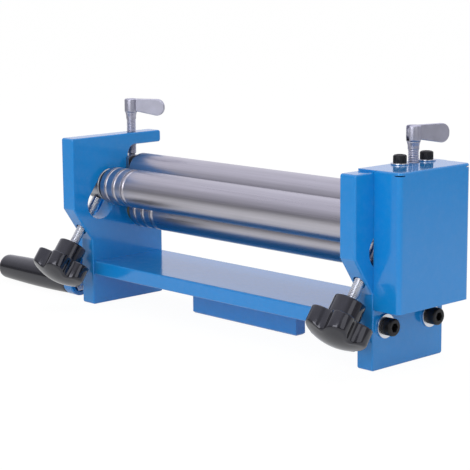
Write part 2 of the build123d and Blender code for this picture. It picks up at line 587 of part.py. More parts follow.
# ---------------------------------------------------------------- wing screws
for side, name in SIDES:
    foot = (side * MIDDLE, UPPER_AXIS[0], 0)
    heading = radians(BLADE_HEADING[name])
    blade_way = Vector(cos(heading), sin(heading), 0)
    pin_way = Vector(-sin(heading), cos(heading), 0)
    pin_centre = Vector(side * MIDDLE, UPPER_AXIS[0], PIN_HEIGHT)
    tip_bottom = BLOCK_TOP - DIMPLE_DEPTH + STUD_TIP_GAP
    with BuildPart() as wing_screw:
        outline = [
            (tip_bottom, 0), (tip_bottom, WING_TIP_RADIUS), (tip_bottom + WING_TIP_LENGTH, WING_TIP_RADIUS),
            (tip_bottom + WING_TIP_LENGTH + STUD_BEVEL, STUD_RADIUS), (WING_THREAD_TOP, STUD_RADIUS),
            (WING_THREAD_TOP, WING_NECK_RADIUS), (WING_NECK_TOP, WING_NECK_RADIUS),
            (CLEVIS_BOTTOM, CLEVIS_RADIUS), (CLEVIS_TOP - CLEVIS_BEVEL, CLEVIS_RADIUS),
            (CLEVIS_TOP, CLEVIS_RADIUS - CLEVIS_BEVEL), (CLEVIS_TOP, 0),
        ]
        turned(outline, foot, (0, 0, 1))
        with BuildSketch(Plane(origin=foot, x_dir=blade_way, z_dir=(0, 0, 1)).offset(CLEVIS_SLOT_FLOOR)):
            Rectangle(3 * CLEVIS_RADIUS, BLADE_THICK + 2 * SLIDE_GAP)
        extrude(amount=CLEVIS_TOP - CLEVIS_SLOT_FLOOR, mode=Mode.SUBTRACT)
        rod(PIN_RADIUS, -CLEVIS_RADIUS, CLEVIS_RADIUS, pin_centre, pin_way, Mode.SUBTRACT)
    wing_screw.part.label = f"wing_screw_{name}"
    export_step(wing_screw.part, f"parts/wing_screw_{name}.step")

    with BuildPart() as wing_pin:
        rod(PIN_RADIUS, PIN_SETBACK - CLEVIS_RADIUS, CLEVIS_RADIUS - PIN_SETBACK, pin_centre, pin_way)
    wing_pin.part.label = f"wing_pin_{name}"
    export_step(wing_pin.part, f"parts/wing_pin_{name}.step")

    with BuildPart() as wing_blade:
        root = CLEVIS_TOP - PIN_HEIGHT
        with BuildSketch(Plane(origin=pin_centre, x_dir=blade_way, z_dir=-pin_way)) as profile:
            with BuildLine():
                ThreePointArc((0, root), (-root, 0), (0, -root))
                Polyline((0, -root), (root, -root), (BLADE_LENGTH, -BLADE_TIP_DROP))
                Polyline((BLADE_LENGTH, -BLADE_TIP_DROP), (BLADE_LENGTH, root), (0, root))
            make_face()
            fillet(profile.vertices().sort_by(Axis.X)[-2:], BLADE_TIP_ROUND)
        extrude(amount=BLADE_THICK / 2, both=True)
        fillet(wing_blade.edges().filter_by(Plane(origin=pin_centre, z_dir=pin_way)), BLADE_EDGE_ROUND)
        rod(PIN_RADIUS + RUNNING_FIT, -BLADE_THICK, BLADE_THICK, pin_centre, pin_way, Mode.SUBTRACT)
    wing_blade.part.label = f"wing_blade_{name}"
    export_step(wing_blade.part, f"parts/wing_blade_{name}.step")

# ---------------------------------------------------------------- bending roll
for side, name in SIDES:
    outward = (side, 0, 0)
    with BuildPart() as bending_block:
        outline = [
            (BEND_BLOCK_INNER, IDLE_BUSH), (BEND_BLOCK_INNER, BEND_FLANGE - FLANGE_BEVEL),
            (BEND_BLOCK_INNER + FLANGE_BEVEL, BEND_FLANGE),
            (INNER - SLIDE_GAP, BEND_FLANGE), (INNER - SLIDE_GAP, BLOCK_RADIUS),
            (BLOCK_OUTER, BLOCK_RADIUS), (BLOCK_OUTER, IDLE_BUSH),
        ]
        turned(outline, (0, *BEND_AXIS), outward)
    bending_block.part.label = f"bending_block_{name}"
    export_step(bending_block.part, f"parts/bending_block_{name}.step")

    with BuildPart() as bending_bush:
        ring(IDLE_JOURNAL + RUNNING_FIT, IDLE_BUSH, BEND_BLOCK_INNER, BLOCK_OUTER, (0, *BEND_AXIS), outward)
    bending_bush.part.label = f"bending_bush_{name}"
    export_step(bending_bush.part, f"parts/bending_bush_{name}.step")

with BuildPart() as bending_roller:
    outline = [
        (-BLOCK_OUTER, 0), (-BLOCK_OUTER, IDLE_JOURNAL), (-BEND_SHOULDER_END, IDLE_JOURNAL),
        *roll_end(-1, BEND_SHOULDER_END), *roll_end(1, BEND_SHOULDER_END),
        (BEND_SHOULDER_END, IDLE_JOURNAL), (BLOCK_OUTER, IDLE_JOURNAL), (BLOCK_OUTER, 0),
    ]
    turned(outline, (0, *BEND_AXIS), (1, 0, 0), grooves=WIRE_GROOVES)
bending_roller.part.label = "bending_roller"
export_step(bending_roller.part, "parts/bending_roller.step")

# ---------------------------------------------------------------- star-knob screws
lobe_place = KNOB_RADIUS - KNOB_LOBE_RADIUS
half_pitch = pi / KNOB_LOBES
touching = KNOB_LOBE_RADIUS + KNOB_VALLEY_RADIUS
lobe_side = lobe_place * cos(half_pitch)
valley_place = lobe_side + sqrt(lobe_side**2 - lobe_place**2 + touching**2)
stud_end = KNOB_START + KNOB_HUB_LENGTH + KNOB_RIM / 2
dome_radius = (KNOB_RADIUS**2 + KNOB_DOME**2) / (2 * KNOB_DOME)
for side, name in SIDES:
    centre = Vector(side * MIDDLE, *BEND_AXIS)
    with BuildPart() as knob_screw:
        tip = BLOCK_RADIUS + STUD_TIP_GAP
        outline = [
            (tip, 0), (tip, STUD_RADIUS - STUD_BEVEL), (tip + STUD_BEVEL, STUD_RADIUS),
            (stud_end, STUD_RADIUS), (stud_end, 0),
        ]
        turned(outline, centre, SCREW_WAY)
    knob_screw.part.label = f"knob_screw_{name}"
    export_step(knob_screw.part, f"parts/knob_screw_{name}.step")

    with BuildPart() as star_knob:
        rim_start = KNOB_START + KNOB_HUB_LENGTH
        rim_end = rim_start + KNOB_RIM
        star_plane = Plane(origin=centre, x_dir=(1, 0, 0), z_dir=SCREW_WAY)
        with BuildSketch(star_plane.offset(rim_start)):
            Circle(lobe_place)
            with PolarLocations(lobe_place, KNOB_LOBES, start_angle=KNOB_TURN[name]):
                Circle(KNOB_LOBE_RADIUS)
            with PolarLocations(valley_place, KNOB_LOBES, start_angle=KNOB_TURN[name] + 180 / KNOB_LOBES):
                Circle(KNOB_VALLEY_RADIUS, mode=Mode.SUBTRACT)
        extrude(amount=KNOB_RIM + KNOB_DOME)
        fillet(star_knob.faces().sort_by(Axis(centre, SCREW_WAY))[0].outer_wire().edges(), KNOB_EDGE_ROUND)
        with BuildSketch(Plane(origin=centre, x_dir=SCREW_WAY, z_dir=(1, 0, 0))) as dome:
            with BuildLine():
                Polyline((rim_end, KNOB_RADIUS), (rim_start, KNOB_RADIUS), (rim_start, 0))
                Line((rim_start, 0), (rim_end + KNOB_DOME, 0))
                RadiusArc((rim_end + KNOB_DOME, 0), (rim_end, KNOB_RADIUS), dome_radius)
            make_face()
        revolve(axis=Axis(centre, SCREW_WAY), mode=Mode.INTERSECT)
        rod(KNOB_HUB_RADIUS, KNOB_START, rim_start, centre, SCREW_WAY)
        rod(STUD_RADIUS, KNOB_START, stud_end, centre, SCREW_WAY, Mode.SUBTRACT)
        hub_rim = star_knob.edges().filter_by(GeomType.CIRCLE).sort_by(Axis(centre, SCREW_WAY))
        fillet(hub_rim[:2].sort_by(SortBy.RADIUS)[-1], KNOB_EDGE_ROUND)
    star_knob.part.label = f"star_knob_{name}"
    export_step(star_knob.part, f"parts/star_knob_{name}.step")

# ---------------------------------------------------------------- crank
crank_line = (0, *LOWER_AXIS)
grip_line = (0, *GRIP_AXIS)
with BuildPart() as crank_arm:
    with BuildSketch(Plane.YZ.offset(ARM_OUTER)):
        with Locations(LOWER_AXIS):
            Circle(HUB_RADIUS)
        with Locations(GRIP_AXIS):
            Circle(ARM_END_RADIUS)
        make_hull()
    extrude(amount=ARM_INNER - ARM_OUTER)
    fillet(crank_arm.edges(), ARM_ROUND)
    rod(BOSS_RADIUS, ARM_INNER - OVERCUT, CRANK_HUB_START, crank_line, (1, 0, 0))
    rod(CRANK_SEAT, ARM_OUTER, CRANK_HUB_START, crank_line, (1, 0, 0), Mode.SUBTRACT)
    keyway(ARM_OUTER, CRANK_HUB_START, LOWER_AXIS, CRANK_SEAT, CRANK_KEY_WIDTH, KEY_DEPTH, KEY_PROUD,
           Mode.SUBTRACT)
    rod(M8[0], ARM_OUTER, ARM_INNER, grip_line, (1, 0, 0), Mode.SUBTRACT)
    rod(NUT_POCKET_RADIUS, ARM_INNER + NUT_PROUD - NUT_THICK, ARM_INNER, grip_line, (1, 0, 0), Mode.SUBTRACT)
crank_arm.part.label = "crank_arm"
export_step(crank_arm.part, "parts/crank_arm.step")

with BuildPart() as crank_key:
    keyway(CRANK_SEAT_END, CRANK_KEY_END, LOWER_AXIS, CRANK_SEAT, CRANK_KEY_WIDTH, KEY_DEPTH, KEY_PROUD)
crank_key.part.label = "crank_key"
export_step(crank_key.part, "parts/crank_key.step")

with BuildPart() as crank_washer:
    ring(CRANK_WASHER[0], CRANK_WASHER[1], ARM_OUTER - CRANK_WASHER[2], ARM_OUTER, crank_line, (1, 0, 0))
crank_washer.part.label = "crank_washer"
export_step(crank_washer.part, "parts/crank_washer.step")

with BuildPart() as crank_screw:
    socket_screw(M6, CRANK_SCREW_LENGTH, (ARM_OUTER - CRANK_WASHER[2], *LOWER_AXIS), (1, 0, 0))
crank_screw.part.label = "crank_screw"
export_step(crank_screw.part, "parts/crank_screw.step")

with BuildPart() as grip_bolt:
    nut_face = -ARM_INNER - NUT_PROUD
    outline = [
        (nut_face, 0), (nut_face, M8[0] - SCREW_BEVEL), (nut_face + SCREW_BEVEL, M8[0]), (-ARM_OUTER, M8[0]),
        (-ARM_OUTER, GRIP_PIN_RADIUS), (-GRIP_RECESS_FLOOR, GRIP_PIN_RADIUS),
        (-GRIP_RECESS_FLOOR, GRIP_HEAD_RADIUS), (GRIP_HEAD_THICK - GRIP_RECESS_FLOOR, GRIP_HEAD_RADIUS),
        (GRIP_HEAD_THICK - GRIP_RECESS_FLOOR, 0),
    ]
    turned(outline, grip_line, (-1, 0, 0))
    with BuildSketch(Plane.YZ.offset(GRIP_RECESS_FLOOR - GRIP_HEAD_THICK)):
        with Locations(GRIP_AXIS):
            RegularPolygon(M8[3] / sqrt(3), 6)
    extrude(amount=GRIP_SOCKET_DEPTH, mode=Mode.SUBTRACT)
grip_bolt.part.label = "grip_bolt"
export_step(grip_bolt.part, "parts/grip_bolt.step")

with BuildPart() as grip_nut:
    with BuildSketch(Plane.YZ.offset(ARM_INNER + NUT_PROUD - NUT_THICK)):
        with Locations(GRIP_AXIS):
            RegularPolygon(NUT_ACROSS_FLATS / sqrt(3), 6)
            Circle(M8[0], mode=Mode.SUBTRACT)
    extrude(amount=NUT_THICK)
grip_nut.part.label = "grip_nut"
export_step(grip_nut.part, "parts/grip_nut.step")

with BuildPart() as grip:
    bore = GRIP_PIN_RADIUS + RUNNING_FIT
    recess = GRIP_HEAD_RADIUS + CLEARANCE
    with BuildSketch(Plane(origin=grip_line, x_dir=(-1, 0, 0), z_dir=(0, 0, 1))) as half:
        with BuildLine():
            Polyline(
                (-GRIP_INNER, GRIP_INNER_RADIUS), (-GRIP_INNER, bore), (-GRIP_RECESS_FLOOR, bore),
                (-GRIP_RECESS_FLOOR, recess), (-GRIP_OUTER, recess), (-GRIP_OUTER, GRIP_OUTER_RADIUS),
            )
            ThreePointArc(
                (-GRIP_OUTER, GRIP_OUTER_RADIUS), (-GRIP_FAT_PLACE, GRIP_FAT_RADIUS),
                (-GRIP_INNER, GRIP_INNER_RADIUS),
            )
        make_face()
        fillet(half.vertices().sort_by_distance((-GRIP_OUTER, GRIP_OUTER_RADIUS, 0))[0], GRIP_OUTER_ROUND)
        fillet(half.vertices().sort_by_distance((-GRIP_INNER, GRIP_INNER_RADIUS, 0))[0], GRIP_INNER_ROUND)
    revolve(axis=Axis(grip_line, (1, 0, 0)))
grip.part.label = "grip"
export_step(grip.part, "parts/grip.step")
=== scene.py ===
"""A bench slip roll: its finishes, its fine pieces and a plain studio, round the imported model.

Lengths are in metres in the model's own frame: X along the rolls, -Y to the front, Z up.
"""

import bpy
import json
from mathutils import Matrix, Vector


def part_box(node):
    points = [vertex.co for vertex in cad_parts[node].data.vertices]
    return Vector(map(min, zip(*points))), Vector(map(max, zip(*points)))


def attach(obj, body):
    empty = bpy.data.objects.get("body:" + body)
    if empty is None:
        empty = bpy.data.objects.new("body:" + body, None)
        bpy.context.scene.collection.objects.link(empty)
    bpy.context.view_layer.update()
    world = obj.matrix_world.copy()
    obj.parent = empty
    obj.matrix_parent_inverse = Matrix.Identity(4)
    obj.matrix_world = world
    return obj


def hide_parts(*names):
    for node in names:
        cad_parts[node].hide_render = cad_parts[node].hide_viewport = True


bl_info = {
    "name": "Slip roll machine",
    "version": (1, 0, 0),
    "blender": (4, 5, 0),
    "location": "3D View > Sidebar > Slip Roll",
    "description": "Dresses a packed slip roll with its finishes, threads, knobs and lights",
    "category": "Object",
}

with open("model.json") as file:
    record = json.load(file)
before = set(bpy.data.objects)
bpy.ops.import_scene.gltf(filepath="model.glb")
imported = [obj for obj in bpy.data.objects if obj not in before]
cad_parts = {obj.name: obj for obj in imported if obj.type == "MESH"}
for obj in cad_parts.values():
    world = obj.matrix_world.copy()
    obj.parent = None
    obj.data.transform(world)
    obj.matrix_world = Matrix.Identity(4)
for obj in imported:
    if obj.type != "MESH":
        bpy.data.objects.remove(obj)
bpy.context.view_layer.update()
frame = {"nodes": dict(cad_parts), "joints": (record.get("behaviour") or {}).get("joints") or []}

import json
from math import atan2, ceil, cos, pi, radians, sin, sqrt

import bmesh
import bpy
from bpy.props import FloatProperty, FloatVectorProperty, IntProperty, PointerProperty
from mathutils import Matrix, Vector

MM = 0.001
FULL_TURN = 2 * pi
JOINTS = {joint["name"]: joint for joint in frame["joints"]}
SIDES = ("left", "right")


def joint_point(name):
    """Where a joint's axis stands, at rest."""
    return Vector(JOINTS[name]["pos_m"])


def joint_way(name):
    """The direction of a joint's axis."""
    return Vector(JOINTS[name]["axis"]).normalized()


ALONG_ROLLS = Vector((1, 0, 0))
UPWARD = Vector((0, 0, 1))
SCREW_WAY = joint_way("bend_lift")
CAMERA_PLACE = Vector((0.9089, -0.8785, 0.2991))
SENSOR_WIDTH = 36.0
MODEL_MIDDLE = (0.0, 0.0, 0.08)
FLOOR_SIZE = 12.0
SWEEP_CENTRE = (0.0, 0.25, 0.0)

# Angle from the rolls' direction to a lobe, seen along the screw.
KNOB_TURN = {"left": radians(-18.0), "right": radians(-24.0)}
KNOB_INSET = 1.9 * MM          # rounding between the knob's side and its dome
DOME_RINGS = (0.86, 0.76, 0.64, 0.52, 0.4, 0.28, 0.16, 0.07, 0.0)
STEPS_PER_LOBE = 40
BAR_STEPS = 48
RINGS_PER_PITCH = 8
TIP_BEVEL = 1 * MM
CREST_SHARPNESS = 1.6          # above 1, the crests are wider than the grooves

# Millimetres: thread radius, head radius, head height, socket width, reach of the thread; then the knurls.
BED_SCREW = (4.0, 6.5, 8.0, 6.0, 38.0, 44)
COVER_SCREW = (3.0, 5.0, 6.0, 5.0, 14.0, 36)
# Millimetres: hole radius, outside radius, thickness.
BED_WASHER = (4.2, 9.0, 1.6)
COVER_WASHER = (3.2, 6.8, 1.2)
WASHER_STEPS = 72

WELD_RIPPLE = 2.2 * MM
WELD_RINGS = 300
WELD_STEPS = 40

GRIP_BORE = 5.05 * MM
GRIP_RECESS = 7.0 * MM
GRIP_RECESS_DEPTH = 7.5 * MM
# Place and rounding as shares of the grip's length, round its radius in millimetres.
GRIP_SWELL = ((0.18, 11.9, 0.12), (0.52, 12.2, 0.2), (0.86, 11.25, 0.08))
GRIP_STEPS = 96

BEVEL_SAMPLES = 6
RUBBED_ENAMEL = (0.10, 0.33, 0.74, 1)
RUBBED_ROLL = (0.86, 0.86, 0.88, 1)
RUBBED_NICKEL = (0.72, 0.73, 0.76, 1)
RUBBED_OXIDE = (0.10, 0.10, 0.11, 1)
SCUFFED_PLASTIC = (0.025, 0.025, 0.030, 1)
OIL_STAIN = (0.40, 0.39, 0.40, 1)
# Pale colours of dust and of a painted sheen on faces that look up.
ENAMEL_DUST_AND_SHEEN = (0.42, 0.48, 0.58, 1)
PLASTIC_DUST_AND_SHEEN = (0.10, 0.10, 0.115, 1)
WHITE = (1, 1, 1, 1)
COOL_WHITE = (0.96, 0.95, 1.05, 1)
FINISH = {}


# ---------------------------------------------------------------- what a user would change
def colour(name, description, value):
    """A colour setting."""
    return FloatVectorProperty(
        name=name, description=description, default=value, subtype="COLOR", size=3, min=0.0, max=1.0
    )


def length(name, description, millimetres):
    """A length setting, given in millimetres and kept in metres."""
    return FloatProperty(
        name=name, description=description, default=millimetres * MM, unit="LENGTH", precision=5
    )


def power(name, description, watts):
    """A lamp's power setting."""
    return FloatProperty(name=name, description=description, default=watts, unit="POWER")


def angle(name, description, degrees):
    """An angle setting, given in degrees and kept in radians."""
    return FloatProperty(name=name, description=description, default=radians(degrees), unit="ROTATION")


class SlipRollColours(bpy.types.PropertyGroup):
    """Colours of the finishes."""

    paint: colour("Enamel", "Blue enamel on the frame, the cover and the crank", (0.005, 0.235, 0.645))
    roll_steel: colour("Roll steel", "Ground steel of the three rolls", (0.520, 0.505, 0.560))
    block_steel: colour("Block steel", "Machined bearing blocks", (0.420, 0.430, 0.450))
    zinc: colour("Zinc", "Plated studs, washers and the grip's bolt", (0.760, 0.775, 0.820))
    nickel: colour("Nickel", "Cast and plated wing screws", (0.470, 0.470, 0.560))
    oxide: colour("Black oxide", "Socket-head screws", (0.016, 0.016, 0.018))
    bronze: colour("Bronze", "Bearing bushes", (0.600, 0.400, 0.200))
    gear_steel: colour("Gear steel", "Gears, keys and circlips", (0.240, 0.240, 0.250))
    plastic: colour("Plastic", "Star knobs and the crank's grip", (0.007, 0.007, 0.009))


class SlipRollSizes(bpy.types.PropertyGroup):
    """Sizes of the fine pieces."""

    stud_radius: length("Stud radius", "Outside radius of the M8 studs", 4.0)
    pitch: length("Pitch", "Advance of the M8 thread in one turn", 1.25)
    thread_depth: length("Thread depth", "Depth of the thread's groove", 0.5)
    stud_tip: length("Stud tip", "From the bending roll's axis to the stud's tip", 13.55)
    knob_start: length("Knob start", "From the bending roll's axis to the knob's hub", 60.3)
    hub_radius: length("Hub radius", "Radius of the star knob's hub", 12.2)
    hub_length: length("Hub length", "Length of the star knob's hub", 15.0)
    knob_radius: length("Knob radius", "From the knob's axis to the end of a lobe", 24.3)
    lobe_radius: length("Lobe radius", "Radius of a lobe's end", 8.6)
    valley_radius: length("Valley radius", "Radius of the hollow between two lobes", 6.0)
    rim: length("Rim", "Straight side of the star knob", 12.5)
    dome: length("Dome", "Height of the star knob's domed face", 7.5)
    lobes: IntProperty(name="Lobes", description="Lobes of a star knob", default=5, min=3, max=8)
    wing_tip: length("Wing tip", "Height of the wing screw's lower end", 119.6)
    wing_stud: length("Wing stud", "Height at which the wing screw's thread begins", 127.0)
    wing_neck: length("Wing neck", "Height at which the thread ends", 156.5)
    clevis_bottom: length("Clevis foot", "Height at which the neck has widened to the clevis", 163.0)
    clevis_top: length("Clevis top", "Height of the clevis", 174.0)
    clevis_radius: length("Clevis radius", "Radius of the clevis", 5.5)
    clevis_slot: length("Clevis slot", "Width of the clevis's slot", 3.6)


class SlipRollStage(bpy.types.PropertyGroup):
    """The floor, the lamps and the camera."""

    floor_colour: colour("Floor", "Pale studio floor", (0.940, 0.940, 0.940))
    key_power: power("Key", "Power of the large front lamp", 15.0)
    fill_power: power("Fill", "Power of the side lamp", 3.2)
    top_power: power("Top", "Power of the overhead lamp", 4.5)
    sky: FloatProperty(
        name="Surround", description="Brightness of the surround on matt surfaces", default=0.55
    )
    lens: FloatProperty(name="Lens", description="Focal length", default=122.29, unit="CAMERA")
    azimuth: angle("Azimuth", "Turn of the camera about the upright", 46.489)
    elevation: angle("Elevation", "How far the camera looks down", 10.065)
    roll: angle("Roll", "Lean of the camera", 0.449)


# ---------------------------------------------------------------- meshes
def eased(path, cuts=4):
    """A path of (height, radius) points; one with a third value is rounded off by that much."""
    points = []
    for place, point in enumerate(path):
        corner = Vector(point[:2])
        if len(point) == 2:
            points.append(corner)
            continue
        before = Vector(path[place - 1][:2]) - corner
        after = Vector(path[place + 1][:2]) - corner
        start = corner + before.normalized() * point[2]
        end = corner + after.normalized() * point[2]
        for cut in range(cuts + 1):
            t = cut / cuts
            points.append(start * (1 - t) ** 2 + corner * 2 * t * (1 - t) + end * t * t)
    return points


def place_ring(verts, paths, ring):
    """Move each vertex of a ring to its own path's point, by the angle that it stands at."""
    steps = len(paths)
    for vert in verts:
        turn = round(atan2(vert.co.y, vert.co.x) / FULL_TURN * steps) % steps
        angle = FULL_TURN * turn / steps
        height, radius = paths[turn][ring]
        radius = max(radius, 1e-6)
        vert.co = (radius * cos(angle), radius * sin(angle), height)


def ring_skin(path, steps):
    """A closed skin through rings round local Z.

    path gives (height, radius) points, or is a function of the angle that gives them.
    """
    if callable(path):
        paths = [eased(path(FULL_TURN * turn / steps)) for turn in range(steps)]
    else:
        paths = [eased(path)] * steps
    bm = bmesh.new()
    ring = bmesh.ops.create_circle(bm, cap_ends=False, radius=1.0, segments=steps)["verts"]
    place_ring(ring, paths, 0)
    edges = list(bm.edges)
    for number in range(1, len(paths[0])):
        grown = bmesh.ops.extrude_edge_only(bm, edges=edges)["geom"]
        ring = [part for part in grown if isinstance(part, bmesh.types.BMVert)]
        fresh = set(ring)
        edges = [
            part for part in grown
            if isinstance(part, bmesh.types.BMEdge) and part.verts[0] in fresh and part.verts[1] in fresh
        ]
        place_ring(ring, paths, number)
    bmesh.ops.remove_doubles(bm, verts=bm.verts, dist=3e-6)
    bmesh.ops.recalc_face_normals(bm, faces=bm.faces)
    return bm


def line_frame(origin, way, level=None):
    """A matrix that takes local Z to a line's direction and local X to the given level direction."""
    way = Vector(way).normalized()
    across = Vector(level) if level else (UPWARD if abs(way.x) > 0.5 else ALONG_ROLLS)
    across = (across - way * across.dot(way)).normalized()
    turn = Matrix((across, way.cross(across), way)).transposed().to_4x4()
    return Matrix.Translation(origin) @ turn


def joined(*meshes):
    """One bmesh from several."""
    whole = bmesh.new()
    for bm in meshes:
        mesh = bpy.data.meshes.new("part")
        bm.to_mesh(mesh)
        bm.free()
        whole.from_mesh(mesh)
        bpy.data.meshes.remove(mesh)
    return whole


def piece(name, bm, matrix, material, body, stands_for, sharp=35.0):
    """Make a bmesh an object that rides on a body and stands for CAD nodes."""
    bm.transform(matrix)
    if matrix.determinant() < 0:
        bmesh.ops.reverse_faces(bm, faces=bm.faces)
    mesh = bpy.data.meshes.new(name)
    bm.to_mesh(mesh)
    bm.free()
    mesh.shade_smooth()
    mesh.set_sharp_from_angle(angle=radians(sharp))
    mesh.materials.append(material)
    thing = bpy.data.objects.new(name, mesh)
    bpy.context.scene.collection.objects.link(thing)
    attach(thing, body)
    if stands_for:
        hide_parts(*stands_for)
    return thing


def dress(material, *nodes):
    """Give CAD nodes their finish."""
    for name in nodes:
        mesh = frame["nodes"][name].data
        mesh.materials.clear()
        mesh.materials.append(material)


# ---------------------------------------------------------------- shader helpers
def add(tree, kind, settings=None, **inputs):
    """Add a node. Each input is a value or the socket that feeds it; _ in its name stands for a space."""
    node = tree.nodes.new(kind)
    for name, value in (settings or {}).items():
        setattr(node, name, value)
    for name, value in inputs.items():
        wire(tree, node.inputs[name.replace("_", " ")], value)
    return node


def wire(tree, socket, value):
    """Feed an input socket from another socket, or set its value."""
    if isinstance(value, bpy.types.NodeSocket):
        tree.links.new(value, socket)
    else:
        socket.default_value = value


def sums(tree, operation, first, second=0.0, clamp=False):
    """A Math node's output."""
    node = add(tree, "ShaderNodeMath", {"operation": operation, "use_clamp": clamp})
    wire(tree, node.inputs[0], first)
    wire(tree, node.inputs[1], second)
    return node.outputs[0]


def between(tree, value, low, high, new_low, new_high):
    """A value mapped from one range to another."""
    node = add(tree, "ShaderNodeMapRange", From_Min=low, From_Max=high, To_Min=new_low, To_Max=new_high)
    wire(tree, node.inputs["Value"], value)
    return node.outputs["Result"]


def noise(tree, place, scale, detail, roughness):
    """A noise texture's value."""
    node = add(tree, "ShaderNodeTexNoise", Vector=place, Scale=scale, Detail=detail, Roughness=roughness)
    return node.outputs["Fac"]


def blended(tree, share, first, second):
    """Two colours mixed."""
    node = add(tree, "ShaderNodeMix", {"data_type": "RGBA"})
    wire(tree, node.inputs["Factor"], share)
    wire(tree, node.inputs[6], first)
    wire(tree, node.inputs[7], second)
    return node.outputs[2]


def opaque(rgb, shade=1.0):
    """A colour setting as RGBA, made lighter or darker."""
    return (*[min(1.0, part * shade) for part in rgb], 1.0)


def new_group(name, inputs, outputs):
    """An empty shader group with named float or vector inputs and outputs, and its two ends."""
    tree = bpy.data.node_groups.new(name, "ShaderNodeTree")
    for socket, value in inputs.items():
        kind = "NodeSocketVector" if value is None else "NodeSocketFloat"
        made = tree.interface.new_socket(socket, in_out="INPUT", socket_type=kind)
        if value is not None:
            made.default_value = value
    for socket in outputs:
        tree.interface.new_socket(socket, in_out="OUTPUT", socket_type="NodeSocketFloat")
    return tree, tree.nodes.new("NodeGroupInput").outputs, tree.nodes.new("NodeGroupOutput").inputs


def mottle_group():
    """Slow, uneven variation, as in a sprayed or plated surface."""
    name = "Mottle"
    if name in bpy.data.node_groups:
        return bpy.data.node_groups[name]
    tree, given, result = new_group(name, {"Vector": None, "Scale": 40.0, "Contrast": 1.0}, ["Value"])
    broad = noise(tree, given["Vector"], given["Scale"], 4.0, 0.6)
    centred = sums(tree, "SUBTRACT", broad, 0.5)
    spread = sums(tree, "MULTIPLY", centred, given["Contrast"])
    wire(tree, result["Value"], sums(tree, "ADD", spread, 0.5, clamp=True))
    return tree


def grain_group():
    """Straight scratches left by grinding: noise drawn out along one direction."""
    name = "Grain"
    if name in bpy.data.node_groups:
        return bpy.data.node_groups[name]
    sockets = {"Vector": None, "Stretch": None, "Fineness": 1.0, "Contrast": 1.0}
    tree, given, result = new_group(name, sockets, ["Value", "Height"])
    drawn = add(tree, "ShaderNodeVectorMath", {"operation": "MULTIPLY"})
    wire(tree, drawn.inputs[0], given["Vector"])
    wire(tree, drawn.inputs[1], given["Stretch"])
    wide = noise(tree, drawn.outputs[0], given["Fineness"], 3.0, 0.65)
    fine = noise(tree, drawn.outputs[0], sums(tree, "MULTIPLY", given["Fineness"], 4.7), 2.0, 0.5)
    both = sums(tree, "ADD", sums(tree, "MULTIPLY", wide, 0.6), sums(tree, "MULTIPLY", fine, 0.4))
    spread = sums(tree, "MULTIPLY", sums(tree, "SUBTRACT", both, 0.5), given["Contrast"])
    wire(tree, result["Value"], sums(tree, "ADD", spread, 0.5, clamp=True))
    wire(tree, result["Height"], fine)
    return tree


def wear_group():
    """Where edges are rubbed: the difference between the true and the rounded normal, broken up by noise."""
    name = "Edge wear"
    if name in bpy.data.node_groups:
        return bpy.data.node_groups[name]
    sockets = {"Vector": None, "Radius": 0.0008, "Breakup": 260.0, "Amount": 1.0}
    tree, given, result = new_group(name, sockets, ["Mask"])
    rounded = add(tree, "ShaderNodeBevel", {"samples": BEVEL_SAMPLES}, Radius=given["Radius"])
    true = add(tree, "ShaderNodeNewGeometry")
    alike = add(tree, "ShaderNodeVectorMath", {"operation": "DOT_PRODUCT"})
    wire(tree, alike.inputs[0], rounded.outputs["Normal"])
    wire(tree, alike.inputs[1], true.outputs["Normal"])
    edge = between(tree, alike.outputs["Value"], 0.997, 0.90, 0.0, 1.0)
    patches = noise(tree, given["Vector"], given["Breakup"], 5.0, 0.7)
    broken = sums(tree, "MULTIPLY", edge, between(tree, patches, 0.38, 0.62, 0.0, 1.0))
    wire(tree, result["Mask"], sums(tree, "MULTIPLY", broken, given["Amount"], clamp=True))
    return tree


def dust_and_sheen_group():
    """Pale specks in soft patches, partly dust and finger marks and partly painted sheen: faces that look up
    are made paler, as if lit from above.
    """
    name = "Dust"
    if name in bpy.data.node_groups:
        return bpy.data.node_groups[name]
    tree, given, result = new_group(name, {"Vector": None, "Scale": 90.0, "Amount": 1.0}, ["Mask"])
    facing = add(tree, "ShaderNodeSeparateXYZ", Vector=add(tree, "ShaderNodeNewGeometry").outputs["Normal"])
    # Painted sheen: faces that look up get more of the pale colour, where light falls on them.
    upward = between(tree, facing.outputs["Z"], -0.2, 1.0, 0.25, 1.0)
    specks = noise(tree, given["Vector"], given["Scale"], 7.0, 0.75)
    upward_specks = sums(tree, "MULTIPLY", between(tree, specks, 0.45, 0.75, 0.0, 1.0), upward)
    wire(tree, result["Mask"], sums(tree, "MULTIPLY", upward_specks, given["Amount"], clamp=True))
    return tree


def placed_group(tree, group, **inputs):
    """A shader group in a material, with its own values."""
    node = tree.nodes.new("ShaderNodeGroup")
    node.node_tree = group
    for name, value in inputs.items():
        wire(tree, node.inputs[name], value)
    return node.outputs


def new_material(name):
    """A material with a bare Principled shader; returns it, its tree, the shader and object coordinates."""
    material = bpy.data.materials.new(name)
    material.use_nodes = True
    tree = material.node_tree
    tree.nodes.clear()
    shader = tree.nodes.new("ShaderNodeBsdfPrincipled")
    output = tree.nodes.new("ShaderNodeOutputMaterial")
    tree.links.new(shader.outputs["BSDF"], output.inputs["Surface"])
    place = add(tree, "ShaderNodeTexCoord").outputs["Object"]
    return material, tree, shader, place


def bump(tree, shader, height, distance, strength, rounding=0.0):
    """Feed a height to the shader's normal, over edges rounded by the given radius."""
    node = add(tree, "ShaderNodeBump", Height=height, Distance=distance, Strength=strength)
    if rounding:
        rounded = add(tree, "ShaderNodeBevel", {"samples": BEVEL_SAMPLES}, Radius=rounding)
        wire(tree, node.inputs["Normal"], rounded.outputs["Normal"])
    wire(tree, shader.inputs["Normal"], node.outputs["Normal"])


